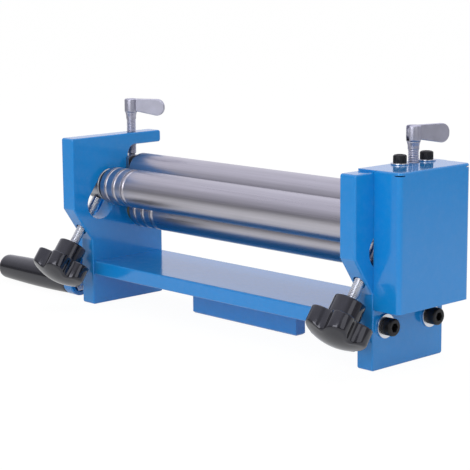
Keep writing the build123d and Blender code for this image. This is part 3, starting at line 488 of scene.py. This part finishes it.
# ---------------------------------------------------------------- finishes
def enamel(colours):
    """Glossy blue enamel with a faint orange peel, thin and paler where it rounds an edge, with dust and a
    painted sheen on faces that look up.
    """
    material, tree, shader, place = new_material("blue_enamel")
    mottle = placed_group(tree, mottle_group(), Vector=place, Scale=14.0, Contrast=0.8)["Value"]
    wear = placed_group(tree, wear_group(), Vector=place, Radius=0.0009, Breakup=180.0, Amount=0.35)["Mask"]
    # Dust and painted sheen: pale specks, heavier on faces that look up.
    dust_and_sheen = placed_group(tree, dust_and_sheen_group(), Vector=place, Scale=120.0, Amount=0.10)["Mask"]
    deep = blended(tree, mottle, opaque(colours.paint, 0.93), opaque(colours.paint, 1.06))
    thin = blended(tree, wear, deep, RUBBED_ENAMEL)
    wire(tree, shader.inputs["Base Color"], blended(tree, dust_and_sheen, thin, ENAMEL_DUST_AND_SHEEN))
    rough = between(tree, mottle, 0.0, 1.0, 0.10, 0.18)
    wire(tree, shader.inputs["Roughness"], sums(tree, "ADD", rough, sums(tree, "MULTIPLY", dust_and_sheen, 0.5)))
    shader.inputs["Coat Weight"].default_value = 0.25
    shader.inputs["Coat Roughness"].default_value = 0.04
    bump(tree, shader, noise(tree, place, 420.0, 2.0, 0.4), 0.00012, 0.22, rounding=0.0005)
    return material


def ground_steel(colours):
    """Roll steel, ground and drawn lengthwise, with oil stains in slow patches."""
    material, tree, shader, place = new_material("ground_steel")
    lengthwise = (2.2, 160.0, 160.0)
    grain = placed_group(tree, grain_group(), Vector=place, Stretch=lengthwise, Fineness=1.0, Contrast=1.5)
    mottle = placed_group(tree, mottle_group(), Vector=place, Scale=26.0, Contrast=1.4)["Value"]
    wear = placed_group(tree, wear_group(), Vector=place, Radius=0.0007, Breakup=300.0, Amount=0.8)["Mask"]
    plain = blended(tree, grain["Value"], opaque(colours.roll_steel, 0.72), opaque(colours.roll_steel, 1.18))
    stained = blended(tree, sums(tree, "MULTIPLY", mottle, 0.22), plain, OIL_STAIN)
    wire(tree, shader.inputs["Base Color"], blended(tree, wear, stained, RUBBED_ROLL))
    shader.inputs["Metallic"].default_value = 1.0
    rough = between(tree, grain["Value"], 0.0, 1.0, 0.20, 0.34)
    wire(tree, shader.inputs["Roughness"], sums(tree, "ADD", rough, sums(tree, "MULTIPLY", mottle, 0.06)))
    bump(tree, shader, grain["Height"], 0.00004, 0.35, rounding=0.0003)
    return material


def machined(name, rgb, stretch, roughness, contrast=1.2):
    """A machined or plated metal with tool marks along one direction."""
    material, tree, shader, place = new_material(name)
    grain = placed_group(tree, grain_group(), Vector=place, Stretch=stretch, Fineness=1.0, Contrast=contrast)
    mottle = placed_group(tree, mottle_group(), Vector=place, Scale=70.0, Contrast=1.3)["Value"]
    wear = placed_group(tree, wear_group(), Vector=place, Radius=0.0004, Breakup=400.0, Amount=0.6)["Mask"]
    plain = blended(tree, grain["Value"], opaque(rgb, 0.82), opaque(rgb, 1.14))
    dull = blended(tree, sums(tree, "MULTIPLY", mottle, 0.2), plain, opaque(rgb, 0.6))
    wire(tree, shader.inputs["Base Color"], blended(tree, wear, dull, opaque(rgb, 1.35)))
    shader.inputs["Metallic"].default_value = 1.0
    rough = between(tree, mottle, 0.0, 1.0, roughness - 0.06, roughness + 0.08)
    wire(tree, shader.inputs["Roughness"], rough)
    bump(tree, shader, grain["Height"], 0.00003, 0.3, rounding=0.0002)
    return material


def cast_nickel(colours):
    """Satin nickel over a casting: softly pitted, brighter where it is handled."""
    material, tree, shader, place = new_material("cast_nickel")
    mottle = placed_group(tree, mottle_group(), Vector=place, Scale=110.0, Contrast=1.2)["Value"]
    wear = placed_group(tree, wear_group(), Vector=place, Radius=0.0007, Breakup=350.0, Amount=0.8)["Mask"]
    plain = blended(tree, mottle, opaque(colours.nickel, 0.86), opaque(colours.nickel, 1.12))
    wire(tree, shader.inputs["Base Color"], blended(tree, wear, plain, RUBBED_NICKEL))
    shader.inputs["Metallic"].default_value = 1.0
    wire(tree, shader.inputs["Roughness"], between(tree, mottle, 0.0, 1.0, 0.34, 0.48))
    bump(tree, shader, noise(tree, place, 900.0, 3.0, 0.6), 0.00008, 0.35, rounding=0.0003)
    return material


def black_oxide(colours):
    """Oiled black oxide, rubbed grey on the edges."""
    material, tree, shader, place = new_material("black_oxide")
    mottle = placed_group(tree, mottle_group(), Vector=place, Scale=160.0, Contrast=1.4)["Value"]
    wear = placed_group(tree, wear_group(), Vector=place, Radius=0.0004, Breakup=500.0, Amount=0.5)["Mask"]
    plain = blended(tree, mottle, opaque(colours.oxide, 0.7), opaque(colours.oxide, 1.5))
    wire(tree, shader.inputs["Base Color"], blended(tree, wear, plain, RUBBED_OXIDE))
    shader.inputs["Metallic"].default_value = 0.6
    wire(tree, shader.inputs["Roughness"], between(tree, mottle, 0.0, 1.0, 0.30, 0.46))
    bump(tree, shader, mottle, 0.00003, 0.3, rounding=0.0002)
    return material


def moulded_plastic(colours):
    """Glossy black phenolic with a faint flow texture and fine scuffs, with dust and a painted sheen on
    faces that look up.
    """
    material, tree, shader, place = new_material("black_plastic")
    mottle = placed_group(tree, mottle_group(), Vector=place, Scale=60.0, Contrast=1.2)["Value"]
    wear = placed_group(tree, wear_group(), Vector=place, Radius=0.0008, Breakup=420.0, Amount=0.35)["Mask"]
    # Dust and painted sheen: pale specks, heavier on faces that look up.
    dust_and_sheen = placed_group(tree, dust_and_sheen_group(), Vector=place, Scale=260.0, Amount=0.12)["Mask"]
    plain = blended(tree, mottle, opaque(colours.plastic, 0.4), opaque(colours.plastic, 0.8))
    scuffed = blended(tree, wear, plain, SCUFFED_PLASTIC)
    wire(tree, shader.inputs["Base Color"], blended(tree, dust_and_sheen, scuffed, PLASTIC_DUST_AND_SHEEN))
    rough = between(tree, mottle, 0.0, 1.0, 0.09, 0.15)
    wire(tree, shader.inputs["Roughness"], sums(tree, "ADD", rough, sums(tree, "MULTIPLY", wear, 0.25)))
    shader.inputs["Specular Tint"].default_value = (0.88, 0.89, 1.0, 1.0)
    shader.inputs["Specular IOR Level"].default_value = 0.8
    bump(tree, shader, noise(tree, place, 220.0, 2.0, 0.5), 0.0001, 0.06)
    return material


def finishes():
    """Every finish by name, made once."""
    colours = bpy.context.scene.slip_roll_colours
    if not FINISH:
        FINISH.update({
            "blue_paint": enamel(colours),
            "ground_steel": ground_steel(colours),
            "block_steel": machined("block_steel", colours.block_steel, (400.0, 30.0, 30.0), 0.34),
            "bright_zinc": machined("bright_zinc", colours.zinc, (240.0, 240.0, 30.0), 0.26, 0.8),
            "bronze": machined("bearing_bronze", colours.bronze, (500.0, 20.0, 20.0), 0.32),
            "gear_steel": machined("gear_steel", colours.gear_steel, (600.0, 40.0, 40.0), 0.40),
            "wing_steel": cast_nickel(colours),
            "black_screws": black_oxide(colours),
            "black_plastic": moulded_plastic(colours),
        })
    return FINISH


# ---------------------------------------------------------------- shapes of the pieces
def threaded(height, start, end, radius, pitch, depth, angle):
    """Radius of a threaded bar at a height and an angle; the groove runs out at both ends."""
    turn = (height / pitch - angle / FULL_TURN) % 1.0
    groove = abs(2 * turn - 1) ** CREST_SHARPNESS
    fade = min(1.0, max(0.0, (height - start) / pitch), max(0.0, (end - height) / pitch))
    return radius - depth * groove * fade


def threaded_stretch(start, end, radius, pitch, depth, angle):
    """Path points of a thread from one height to another."""
    rings = ceil((end - start) / pitch * RINGS_PER_PITCH)
    heights = [start + (end - start) * ring / rings for ring in range(rings + 1)]
    return [(height, threaded(height, start, end, radius, pitch, depth, angle)) for height in heights]


def star_outline(sizes, turn):
    """Radius of the star knob's outline as a function of the angle, with a lobe at turn."""
    lobe_place = sizes.knob_radius - sizes.lobe_radius
    half = pi / sizes.lobes
    reach = sizes.lobe_radius + sizes.valley_radius
    level = lobe_place * cos(half)
    valley_place = level + sqrt(level ** 2 - lobe_place ** 2 + reach ** 2)
    towards = Vector((valley_place * cos(half) - lobe_place, valley_place * sin(half))).normalized()
    touch = Vector((lobe_place, 0)) + towards * sizes.lobe_radius
    touch_angle = atan2(touch.y, touch.x)

    def radius(angle):
        off = abs((angle - turn + half) % (2 * half) - half)
        if off < touch_angle:
            return lobe_place * cos(off) + sqrt(sizes.lobe_radius ** 2 - (lobe_place * sin(off)) ** 2)
        off = half - off
        return valley_place * cos(off) - sqrt(sizes.valley_radius ** 2 - (valley_place * sin(off)) ** 2)
    return radius


def hexagon(flats, angle):
    """Radius of a hexagon at an angle, from its width across flats."""
    return flats / 2 / cos((angle + pi / 6) % (pi / 3) - pi / 6)


def star_knob(sizes, turn):
    """A star knob round local Z, its hub's end face at height 0."""
    outline = star_outline(sizes, turn)
    rim_start = sizes.hub_length
    ball = (sizes.knob_radius ** 2 + sizes.dome ** 2) / (2 * sizes.dome)
    crown = rim_start + sizes.rim + sizes.dome

    def face(radius):
        return crown - ball + sqrt(ball ** 2 - radius ** 2)

    def path(angle):
        edge = outline(angle)
        points = [
            (0.0, sizes.stud_radius), (0.0, sizes.hub_radius - 0.1 * MM, 1.3 * MM),
            (rim_start, sizes.hub_radius + 0.2 * MM, 0.9 * MM), (rim_start, edge - 0.05 * MM, 1.3 * MM),
            (face(edge - KNOB_INSET / 2), edge, KNOB_INSET),
        ]
        return points + [(face(edge * share), edge * share) for share in DOME_RINGS]
    return ring_skin(path, sizes.lobes * STEPS_PER_LOBE)


def socket_screw(thread, head, height, flats, reach, knurls):
    """A knurled socket-head screw round local Z: head below height 0, thread above it."""
    def path(angle):
        knurl = head - 0.14 * MM * abs(sin(knurls * angle / 2)) ** 0.7
        socket = hexagon(flats, angle)
        bevel = 0.6 * MM
        return [
            (reach, 0.0), (reach, thread - bevel), (reach - bevel, thread), (0.0, thread),
            (0.0, knurl, 0.3 * MM), (bevel * 1.5 - height, knurl), (bevel * 1.2 - height, head - 0.16 * MM),
            (-height, head - 0.9 * MM, 0.4 * MM), (-height, socket + 0.35 * MM), (0.3 * MM - height, socket),
            (-height * 0.45, socket), (-height * 0.45, socket * 0.9), (-height * 0.36, 0.0),
        ]
    return ring_skin(path, knurls * 4)


def washer(hole, outside, thick):
    """A stamped washer round local Z, its outer edge rolled over on one face."""
    path = [
        (0.0, hole), (0.0, outside, 0.2 * MM), (thick, outside, 0.45 * MM), (thick, hole, 0.2 * MM),
        (0.0, hole),
    ]
    return ring_skin(path, WASHER_STEPS)


# ---------------------------------------------------------------- operators
class SLIPROLL_OT_frame(bpy.types.Operator):
    """Paint the side plates, the bed, the vise bar, the gear cover and the crank"""

    bl_idname = "slip_roll.frame"
    bl_label = "Painted frame"

    def execute(self, context):
        dress(
            finishes()["blue_paint"], "left_side_plate", "right_side_plate", "bed_plate", "vise_bar",
            "gear_cover", "crank_arm",
        )
        low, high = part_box("vise_bar_welds")
        bar_low, bar_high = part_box("vise_bar")
        leg = high.z - low.z
        beads = []
        for corner in (bar_low.y, bar_high.y):
            bead = self.bead(high.x - low.x, leg)
            bead.transform(line_frame((low.x, corner, high.z), ALONG_ROLLS))
            beads.append(bead)
        piece("weld_beads", joined(*beads), Matrix.Identity(4), finishes()["blue_paint"], "frame",
              ["vise_bar_welds"], sharp=60.0)
        return {"FINISHED"}

    def bead(self, run, leg):
        """A rippled weld bead along local Z, sunk in the corner that it fills."""
        path = [(0.0, 0.0)]
        for ring in range(WELD_RINGS + 1):
            height = run * ring / WELD_RINGS
            wave = abs(sin(pi * height / WELD_RIPPLE))
            end = min(1.0, height / leg, (run - height) / leg) ** 0.5
            path.append((height, leg * (0.70 + 0.10 * wave) * (0.3 + 0.7 * end)))
        path.append((run, 0.0))
        return ring_skin(path, WELD_STEPS)


class SLIPROLL_OT_rolls(bpy.types.Operator):
    """Finish the three rolls"""

    bl_idname = "slip_roll.rolls"
    bl_label = "Rolls"

    def execute(self, context):
        dress(finishes()["ground_steel"], "lower_roller", "upper_roller", "bending_roller")
        return {"FINISHED"}


class SLIPROLL_OT_bearings(bpy.types.Operator):
    """Finish the bearing blocks and bushes"""

    bl_idname = "slip_roll.bearings"
    bl_label = "Blocks and bushes"

    def execute(self, context):
        for side in SIDES:
            dress(finishes()["block_steel"], f"upper_block_{side}", f"bending_block_{side}")
            dress(finishes()["bronze"], f"upper_bush_{side}", f"bending_bush_{side}", f"lower_bush_{side}")
        return {"FINISHED"}


class SLIPROLL_OT_gears(bpy.types.Operator):
    """Finish the gears, keys and circlips"""

    bl_idname = "slip_roll.gears"
    bl_label = "Gears"

    def execute(self, context):
        for level in ("lower", "upper"):
            dress(finishes()["gear_steel"], f"{level}_gear", f"{level}_gear_key", f"{level}_gear_circlip")
        dress(finishes()["gear_steel"], "crank_key")
        return {"FINISHED"}


class SLIPROLL_OT_star_knobs(bpy.types.Operator):
    """Model the star knobs and their threaded studs"""

    bl_idname = "slip_roll.star_knobs"
    bl_label = "Star knobs and studs"

    def execute(self, context):
        sizes = context.scene.slip_roll_sizes
        for side in SIDES:
            foot = joint_point(f"knob_{side}_turn")
            matrix = line_frame(foot + SCREW_WAY * sizes.knob_start, SCREW_WAY, ALONG_ROLLS)
            piece(f"star_knob_moulding_{side}", star_knob(sizes, KNOB_TURN[side]), matrix,
                  finishes()["black_plastic"], f"knob_{side}", [f"star_knob_{side}"],
                  sharp=28.0)
            self.stud(sizes, side, foot)
        return {"FINISHED"}

    def stud(self, sizes, side, foot):
        """One threaded stud, from the block to inside the knob."""
        tip, end = sizes.stud_tip, sizes.knob_start + 3 * MM
        inside = sizes.knob_start + sizes.hub_length + sizes.rim / 2

        def path(angle):
            thread = threaded_stretch(tip + TIP_BEVEL, end, sizes.stud_radius, sizes.pitch,
                                      sizes.thread_depth, angle)
            return [
                (tip, 0.0), (tip, sizes.stud_radius - TIP_BEVEL), *thread,
                (inside, sizes.stud_radius), (inside, 0.0),
            ]
        piece(f"knob_stud_{side}", ring_skin(path, BAR_STEPS), line_frame(foot, SCREW_WAY),
              finishes()["bright_zinc"], f"knob_{side}", [f"knob_screw_{side}"], sharp=60.0)


class SLIPROLL_OT_wing_screws(bpy.types.Operator):
    """Model the threaded wing screws with their clevises, and finish their pins and blades"""

    bl_idname = "slip_roll.wing_screws"
    bl_label = "Wing screws"

    def execute(self, context):
        sizes = context.scene.slip_roll_sizes
        for side in SIDES:
            foot = joint_point(f"wing_{side}_turn")
            foot.z = 0.0
            matrix = line_frame(foot, UPWARD, joint_way(f"blade_{side}_fold"))
            bm = joined(self.shank(sizes), self.ear(sizes, 1), self.ear(sizes, -1))
            piece(f"wing_screw_cast_{side}", bm, matrix, finishes()["wing_steel"], f"wing_{side}",
                  [f"wing_screw_{side}"], sharp=40.0)
            dress(finishes()["wing_steel"], f"wing_blade_{side}", f"wing_pin_{side}")
        return {"FINISHED"}

    def shank(self, sizes):
        """Tip, thread, neck and the widening under the clevis, up to the floor of its slot."""
        def path(angle):
            thread = threaded_stretch(sizes.wing_stud, sizes.wing_neck, sizes.stud_radius, sizes.pitch,
                                      sizes.thread_depth, angle)
            tip, collar = sizes.stud_radius - TIP_BEVEL, sizes.stud_radius + 0.25 * MM
            floor, widest = sizes.clevis_bottom - 0.6 * MM, sizes.clevis_radius - 0.4 * MM
            return [
                (sizes.wing_tip, 0.0), (sizes.wing_tip, tip), (sizes.wing_stud - TIP_BEVEL, tip), *thread,
                (sizes.wing_neck, collar), (sizes.wing_neck + 2.5 * MM, collar, 1 * MM),
                (floor, widest, 0.4 * MM), (floor + 0.2 * MM, widest), (floor + 0.2 * MM, 0.0),
            ]
        return ring_skin(path, BAR_STEPS)

    def ear(self, sizes, way):
        """One ear of the clevis: a round bar's outer part, cut off flat along the slot."""
        floor = sizes.clevis_bottom - 1.6 * MM
        bm = ring_skin([
            (floor, 0.0), (floor, sizes.clevis_radius - 0.8 * MM),
            (sizes.clevis_bottom, sizes.clevis_radius, 0.7 * MM),
            (sizes.clevis_top, sizes.clevis_radius, 1.4 * MM), (sizes.clevis_top, 0.0),
        ], 64)
        everything = list(bm.verts) + list(bm.edges) + list(bm.faces)
        bmesh.ops.bisect_plane(bm, geom=everything, plane_co=(way * sizes.clevis_slot / 2, 0, 0),
                               plane_no=(-way, 0, 0), clear_outer=True)
        bmesh.ops.holes_fill(bm, edges=[edge for edge in bm.edges if edge.is_boundary])
        bmesh.ops.recalc_face_normals(bm, faces=bm.faces)
        return bm


class SLIPROLL_OT_screws(bpy.types.Operator):
    """Model the socket-head screws and their washers"""

    bl_idname = "slip_roll.screws"
    bl_label = "Screws and washers"

    def execute(self, context):
        for side, out in (("left", -1), ("right", 1)):
            low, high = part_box(f"bed_washers_{side}")
            face = high.x if out > 0 else low.x
            radius = (high.z - low.z) / 2
            places = [Vector((face, y, (low.z + high.z) / 2)) for y in (low.y + radius, high.y - radius)]
            inward = ALONG_ROLLS * -out
            self.row(f"bed_screws_{side}", places, inward, BED_SCREW, [f"bed_bolts_{side}"])
            self.washers(f"bed_screw_washers_{side}", places, inward, BED_WASHER, [f"bed_washers_{side}"])
        low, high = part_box("cover_washers")
        radius = (high.x - low.x) / 2
        places = [Vector((low.x + radius, y, high.z)) for y in (low.y + radius, high.y - radius)]
        self.row("cover_screws", places, -UPWARD, COVER_SCREW, ["cover_bolts"])
        self.washers("cover_screw_washers", places, -UPWARD, COVER_WASHER, ["cover_washers"])
        return {"FINISHED"}

    def row(self, name, places, way, size, stands_for):
        """Like screws as one piece."""
        meshes = []
        for place in places:
            bm = socket_screw(*[part * MM for part in size[:5]], size[5])
            bm.transform(line_frame(place, way))
            meshes.append(bm)
        piece(name, joined(*meshes), Matrix.Identity(4), finishes()["black_screws"], "frame",
              stands_for, sharp=32.0)

    def washers(self, name, places, way, size, stands_for):
        """Like washers as one piece."""
        meshes = []
        for place in places:
            bm = washer(*[part * MM for part in size])
            bm.transform(line_frame(place, way))
            meshes.append(bm)
        piece(name, joined(*meshes), Matrix.Identity(4), finishes()["bright_zinc"], "frame",
              stands_for, sharp=32.0)


class SLIPROLL_OT_crank(bpy.types.Operator):
    """Model the crank's grip and finish its fasteners"""

    bl_idname = "slip_roll.crank"
    bl_label = "Crank grip"

    def execute(self, context):
        low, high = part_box("grip")
        centre = joint_point("grip_turn")
        base = Vector((high.x, centre.y, centre.z))
        size = high.x - low.x
        floor = size - GRIP_RECESS_DEPTH
        path = [
            (0.0, GRIP_BORE), (0.0, 11.3 * MM, 1.3 * MM),
            *[(place * size, radius * MM, rounding * size) for place, radius, rounding in GRIP_SWELL],
            (size, 10.8 * MM, 3.4 * MM), (size, GRIP_RECESS, 0.4 * MM), (floor, GRIP_RECESS),
            (floor, GRIP_BORE), (0.0, GRIP_BORE),
        ]
        piece("crank_grip_moulding", ring_skin(path, GRIP_STEPS), line_frame(base, -ALONG_ROLLS),
              finishes()["black_plastic"], "crank_grip", ["grip"], sharp=32.0)
        dress(finishes()["black_screws"], "crank_screw")
        dress(finishes()["bright_zinc"], "crank_washer", "grip_bolt", "grip_nut")
        return {"FINISHED"}


class SLIPROLL_OT_stage(bpy.types.Operator):
    """Set out the floor, the surround, the lamps and the camera"""

    bl_idname = "slip_roll.stage"
    bl_label = "Studio"

    def execute(self, context):
        stage = context.scene.slip_roll_stage
        context.scene.view_settings.view_transform = "Standard"
        self.floor(stage)
        self.surround(context.scene, stage)
        self.lamp("key", (0.5, -1.8, 0.8), 1.3, stage.key_power)
        self.lamp("side", (1.7, -0.3, 0.7), 1.0, stage.fill_power)
        self.lamp("top", (0.1, 0.3, 1.6), 1.2, stage.top_power)
        self.camera(context.scene, stage)
        return {"FINISHED"}

    def rays(self, tree):
        """1 for rays from the camera, and 1 for those that a polished or clear surface sends on."""
        path = add(tree, "ShaderNodeLightPath").outputs
        onward = sums(tree, "MAXIMUM", path["Is Glossy Ray"], path["Is Transmission Ray"])
        unseen = sums(tree, "SUBTRACT", 1.0, path["Is Camera Ray"])
        return path["Is Camera Ray"], sums(tree, "MULTIPLY", onward, unseen)

    def mixed(self, tree, share, first, second):
        """Two numbers mixed."""
        node = add(tree, "ShaderNodeMix", {"data_type": "FLOAT"})
        for socket, value in zip((0, 2, 3), (share, first, second)):
            wire(tree, node.inputs[socket], value)
        return node.outputs[0]

    def floor(self, stage):
        """A wide pale floor that keeps a faint shadow."""
        bm = bmesh.new()
        bmesh.ops.create_grid(bm, x_segments=1, y_segments=1, size=FLOOR_SIZE)
        mesh = bpy.data.meshes.new("floor")
        bm.to_mesh(mesh)
        bm.free()
        floor = bpy.data.objects.new("floor", mesh)
        bpy.context.scene.collection.objects.link(floor)
        material = bpy.data.materials.new("floor")
        material.use_nodes = True
        tree = material.node_tree
        tree.nodes.clear()
        matt = add(tree, "ShaderNodeBsdfDiffuse", Color=opaque(stage.floor_colour))
        direct, onward = self.rays(tree)
        place = add(tree, "ShaderNodeNewGeometry").outputs["Position"]
        away = add(tree, "ShaderNodeVectorMath", {"operation": "DISTANCE"})
        wire(tree, away.inputs[0], place)
        wire(tree, away.inputs[1], SWEEP_CENTRE)
        sweep = between(tree, away.outputs["Value"], 0.45, 1.0, 0.95, 0.28)
        glow = self.mixed(tree, direct, sweep, 1.04)
        white = add(tree, "ShaderNodeEmission", Color=WHITE, Strength=glow)
        mix = add(tree, "ShaderNodeMixShader")
        share = sums(tree, "ADD", sums(tree, "MULTIPLY", direct, 0.92), sums(tree, "MULTIPLY", onward, 0.65))
        wire(tree, mix.inputs[0], share)
        tree.links.new(matt.outputs[0], mix.inputs[1])
        tree.links.new(white.outputs[0], mix.inputs[2])
        tree.links.new(mix.outputs[0], add(tree, "ShaderNodeOutputMaterial").inputs["Surface"])
        mesh.materials.append(material)

    def surround(self, scene, stage):
        """A white surround where it is seen, and softer on matt surfaces."""
        scene.world = bpy.data.worlds.new("surround")
        scene.world.use_nodes = True
        tree = scene.world.node_tree
        tree.nodes.clear()
        direct, onward = self.rays(tree)
        strength = self.mixed(tree, onward, self.mixed(tree, direct, stage.sky, 1.0), self.backdrop(tree))
        tint = blended(tree, onward, WHITE, COOL_WHITE)
        light = add(tree, "ShaderNodeBackground", Color=tint, Strength=strength)
        tree.links.new(light.outputs[0], add(tree, "ShaderNodeOutputWorld").inputs["Surface"])

    def backdrop(self, tree):
        """Brightness by direction, as polished surfaces mirror it: dim in front, white behind."""
        direction = add(tree, "ShaderNodeTexCoord").outputs["Generated"]
        way = add(tree, "ShaderNodeSeparateXYZ", Vector=direction).outputs
        rise = add(tree, "ShaderNodeValToRGB", Fac=way["Z"])
        stops = ((0.0, 0.25), (0.16, 0.26), (0.28, 0.52), (0.50, 0.62), (0.62, 0.86), (1.0, 1.0))
        ramp = rise.color_ramp
        for place, _ in stops[1:-1]:
            ramp.elements.new(place)
        for element, (place, value) in zip(ramp.elements, stops):
            element.position = place
            element.color = (value, value, value, 1)
        front = between(tree, way["Y"], -0.45, 0.05, 1.0, 0.0)
        rightward = between(tree, way["X"], 0.3, 0.9, 1.0, 0.35)
        return sums(tree, "MULTIPLY", self.mixed(tree, front, 0.96, rise.outputs["Color"]), rightward)

    def lamp(self, name, place, size, power):
        """A square soft lamp that looks at the machine."""
        data = bpy.data.lights.new(name, "AREA")
        data.shape, data.size, data.energy = "SQUARE", size, power
        lamp = bpy.data.objects.new(name, data)
        bpy.context.scene.collection.objects.link(lamp)
        lamp.location = place
        towards = Vector(MODEL_MIDDLE) - Vector(place)
        lamp.rotation_euler = towards.to_track_quat("-Z", "Y").to_euler()

    def camera(self, scene, stage):
        """The camera, turned about the upright, tilted down and leant a little."""
        data = bpy.data.cameras.new("camera")
        data.lens, data.sensor_width, data.sensor_fit = stage.lens, SENSOR_WIDTH, "HORIZONTAL"
        data.clip_start, data.clip_end = 0.05, 60.0
        camera = bpy.data.objects.new("camera", data)
        scene.collection.objects.link(camera)
        az, el, roll = stage.azimuth, stage.elevation, stage.roll
        ahead = Vector((-sin(az) * cos(el), cos(az) * cos(el), -sin(el)))
        level = Vector((cos(az), sin(az), 0))
        below = ahead.cross(level)
        right = level * cos(roll) + below * sin(roll)
        down = below * cos(roll) - level * sin(roll)
        turn = Matrix((right, -down, -ahead)).transposed().to_4x4()
        camera.matrix_world = Matrix.Translation(CAMERA_PLACE) @ turn
        scene.camera = camera


class SLIPROLL_PT_panel(bpy.types.Panel):
    """Builds the slip roll piece by piece"""

    bl_idname = "SLIPROLL_PT_panel"
    bl_label = "Slip roll"
    bl_space_type = "VIEW_3D"
    bl_region_type = "UI"
    bl_category = "Slip Roll"

    def draw(self, context):
        for operator in OPERATORS:
            self.layout.operator(operator.bl_idname)
        for group, kind in SETTINGS.items():
            box = self.layout.box()
            for name in kind.__annotations__:
                box.prop(getattr(context.scene, group), name)


OPERATORS = (
    SLIPROLL_OT_stage, SLIPROLL_OT_frame, SLIPROLL_OT_rolls, SLIPROLL_OT_bearings, SLIPROLL_OT_gears,
    SLIPROLL_OT_star_knobs, SLIPROLL_OT_wing_screws, SLIPROLL_OT_screws, SLIPROLL_OT_crank,
)
SETTINGS = {
    "slip_roll_colours": SlipRollColours, "slip_roll_sizes": SlipRollSizes, "slip_roll_stage": SlipRollStage,
}


def register():
    """Add the settings, the operators and the panel."""
    for name, kind in SETTINGS.items():
        bpy.utils.register_class(kind)
        setattr(bpy.types.Scene, name, PointerProperty(type=kind))
    for kind in (*OPERATORS, SLIPROLL_PT_panel):
        bpy.utils.register_class(kind)


def unregister():
    """Take them out again."""
    for kind in (SLIPROLL_PT_panel, *reversed(OPERATORS)):
        bpy.utils.unregister_class(kind)
    for name, kind in SETTINGS.items():
        delattr(bpy.types.Scene, name)
        bpy.utils.unregister_class(kind)


def main():
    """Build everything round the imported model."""
    register()
    for operator in OPERATORS:
        group, name = operator.bl_idname.split(".")
        getattr(getattr(bpy.ops, group), name)()


if __name__ == "__main__":
    main()
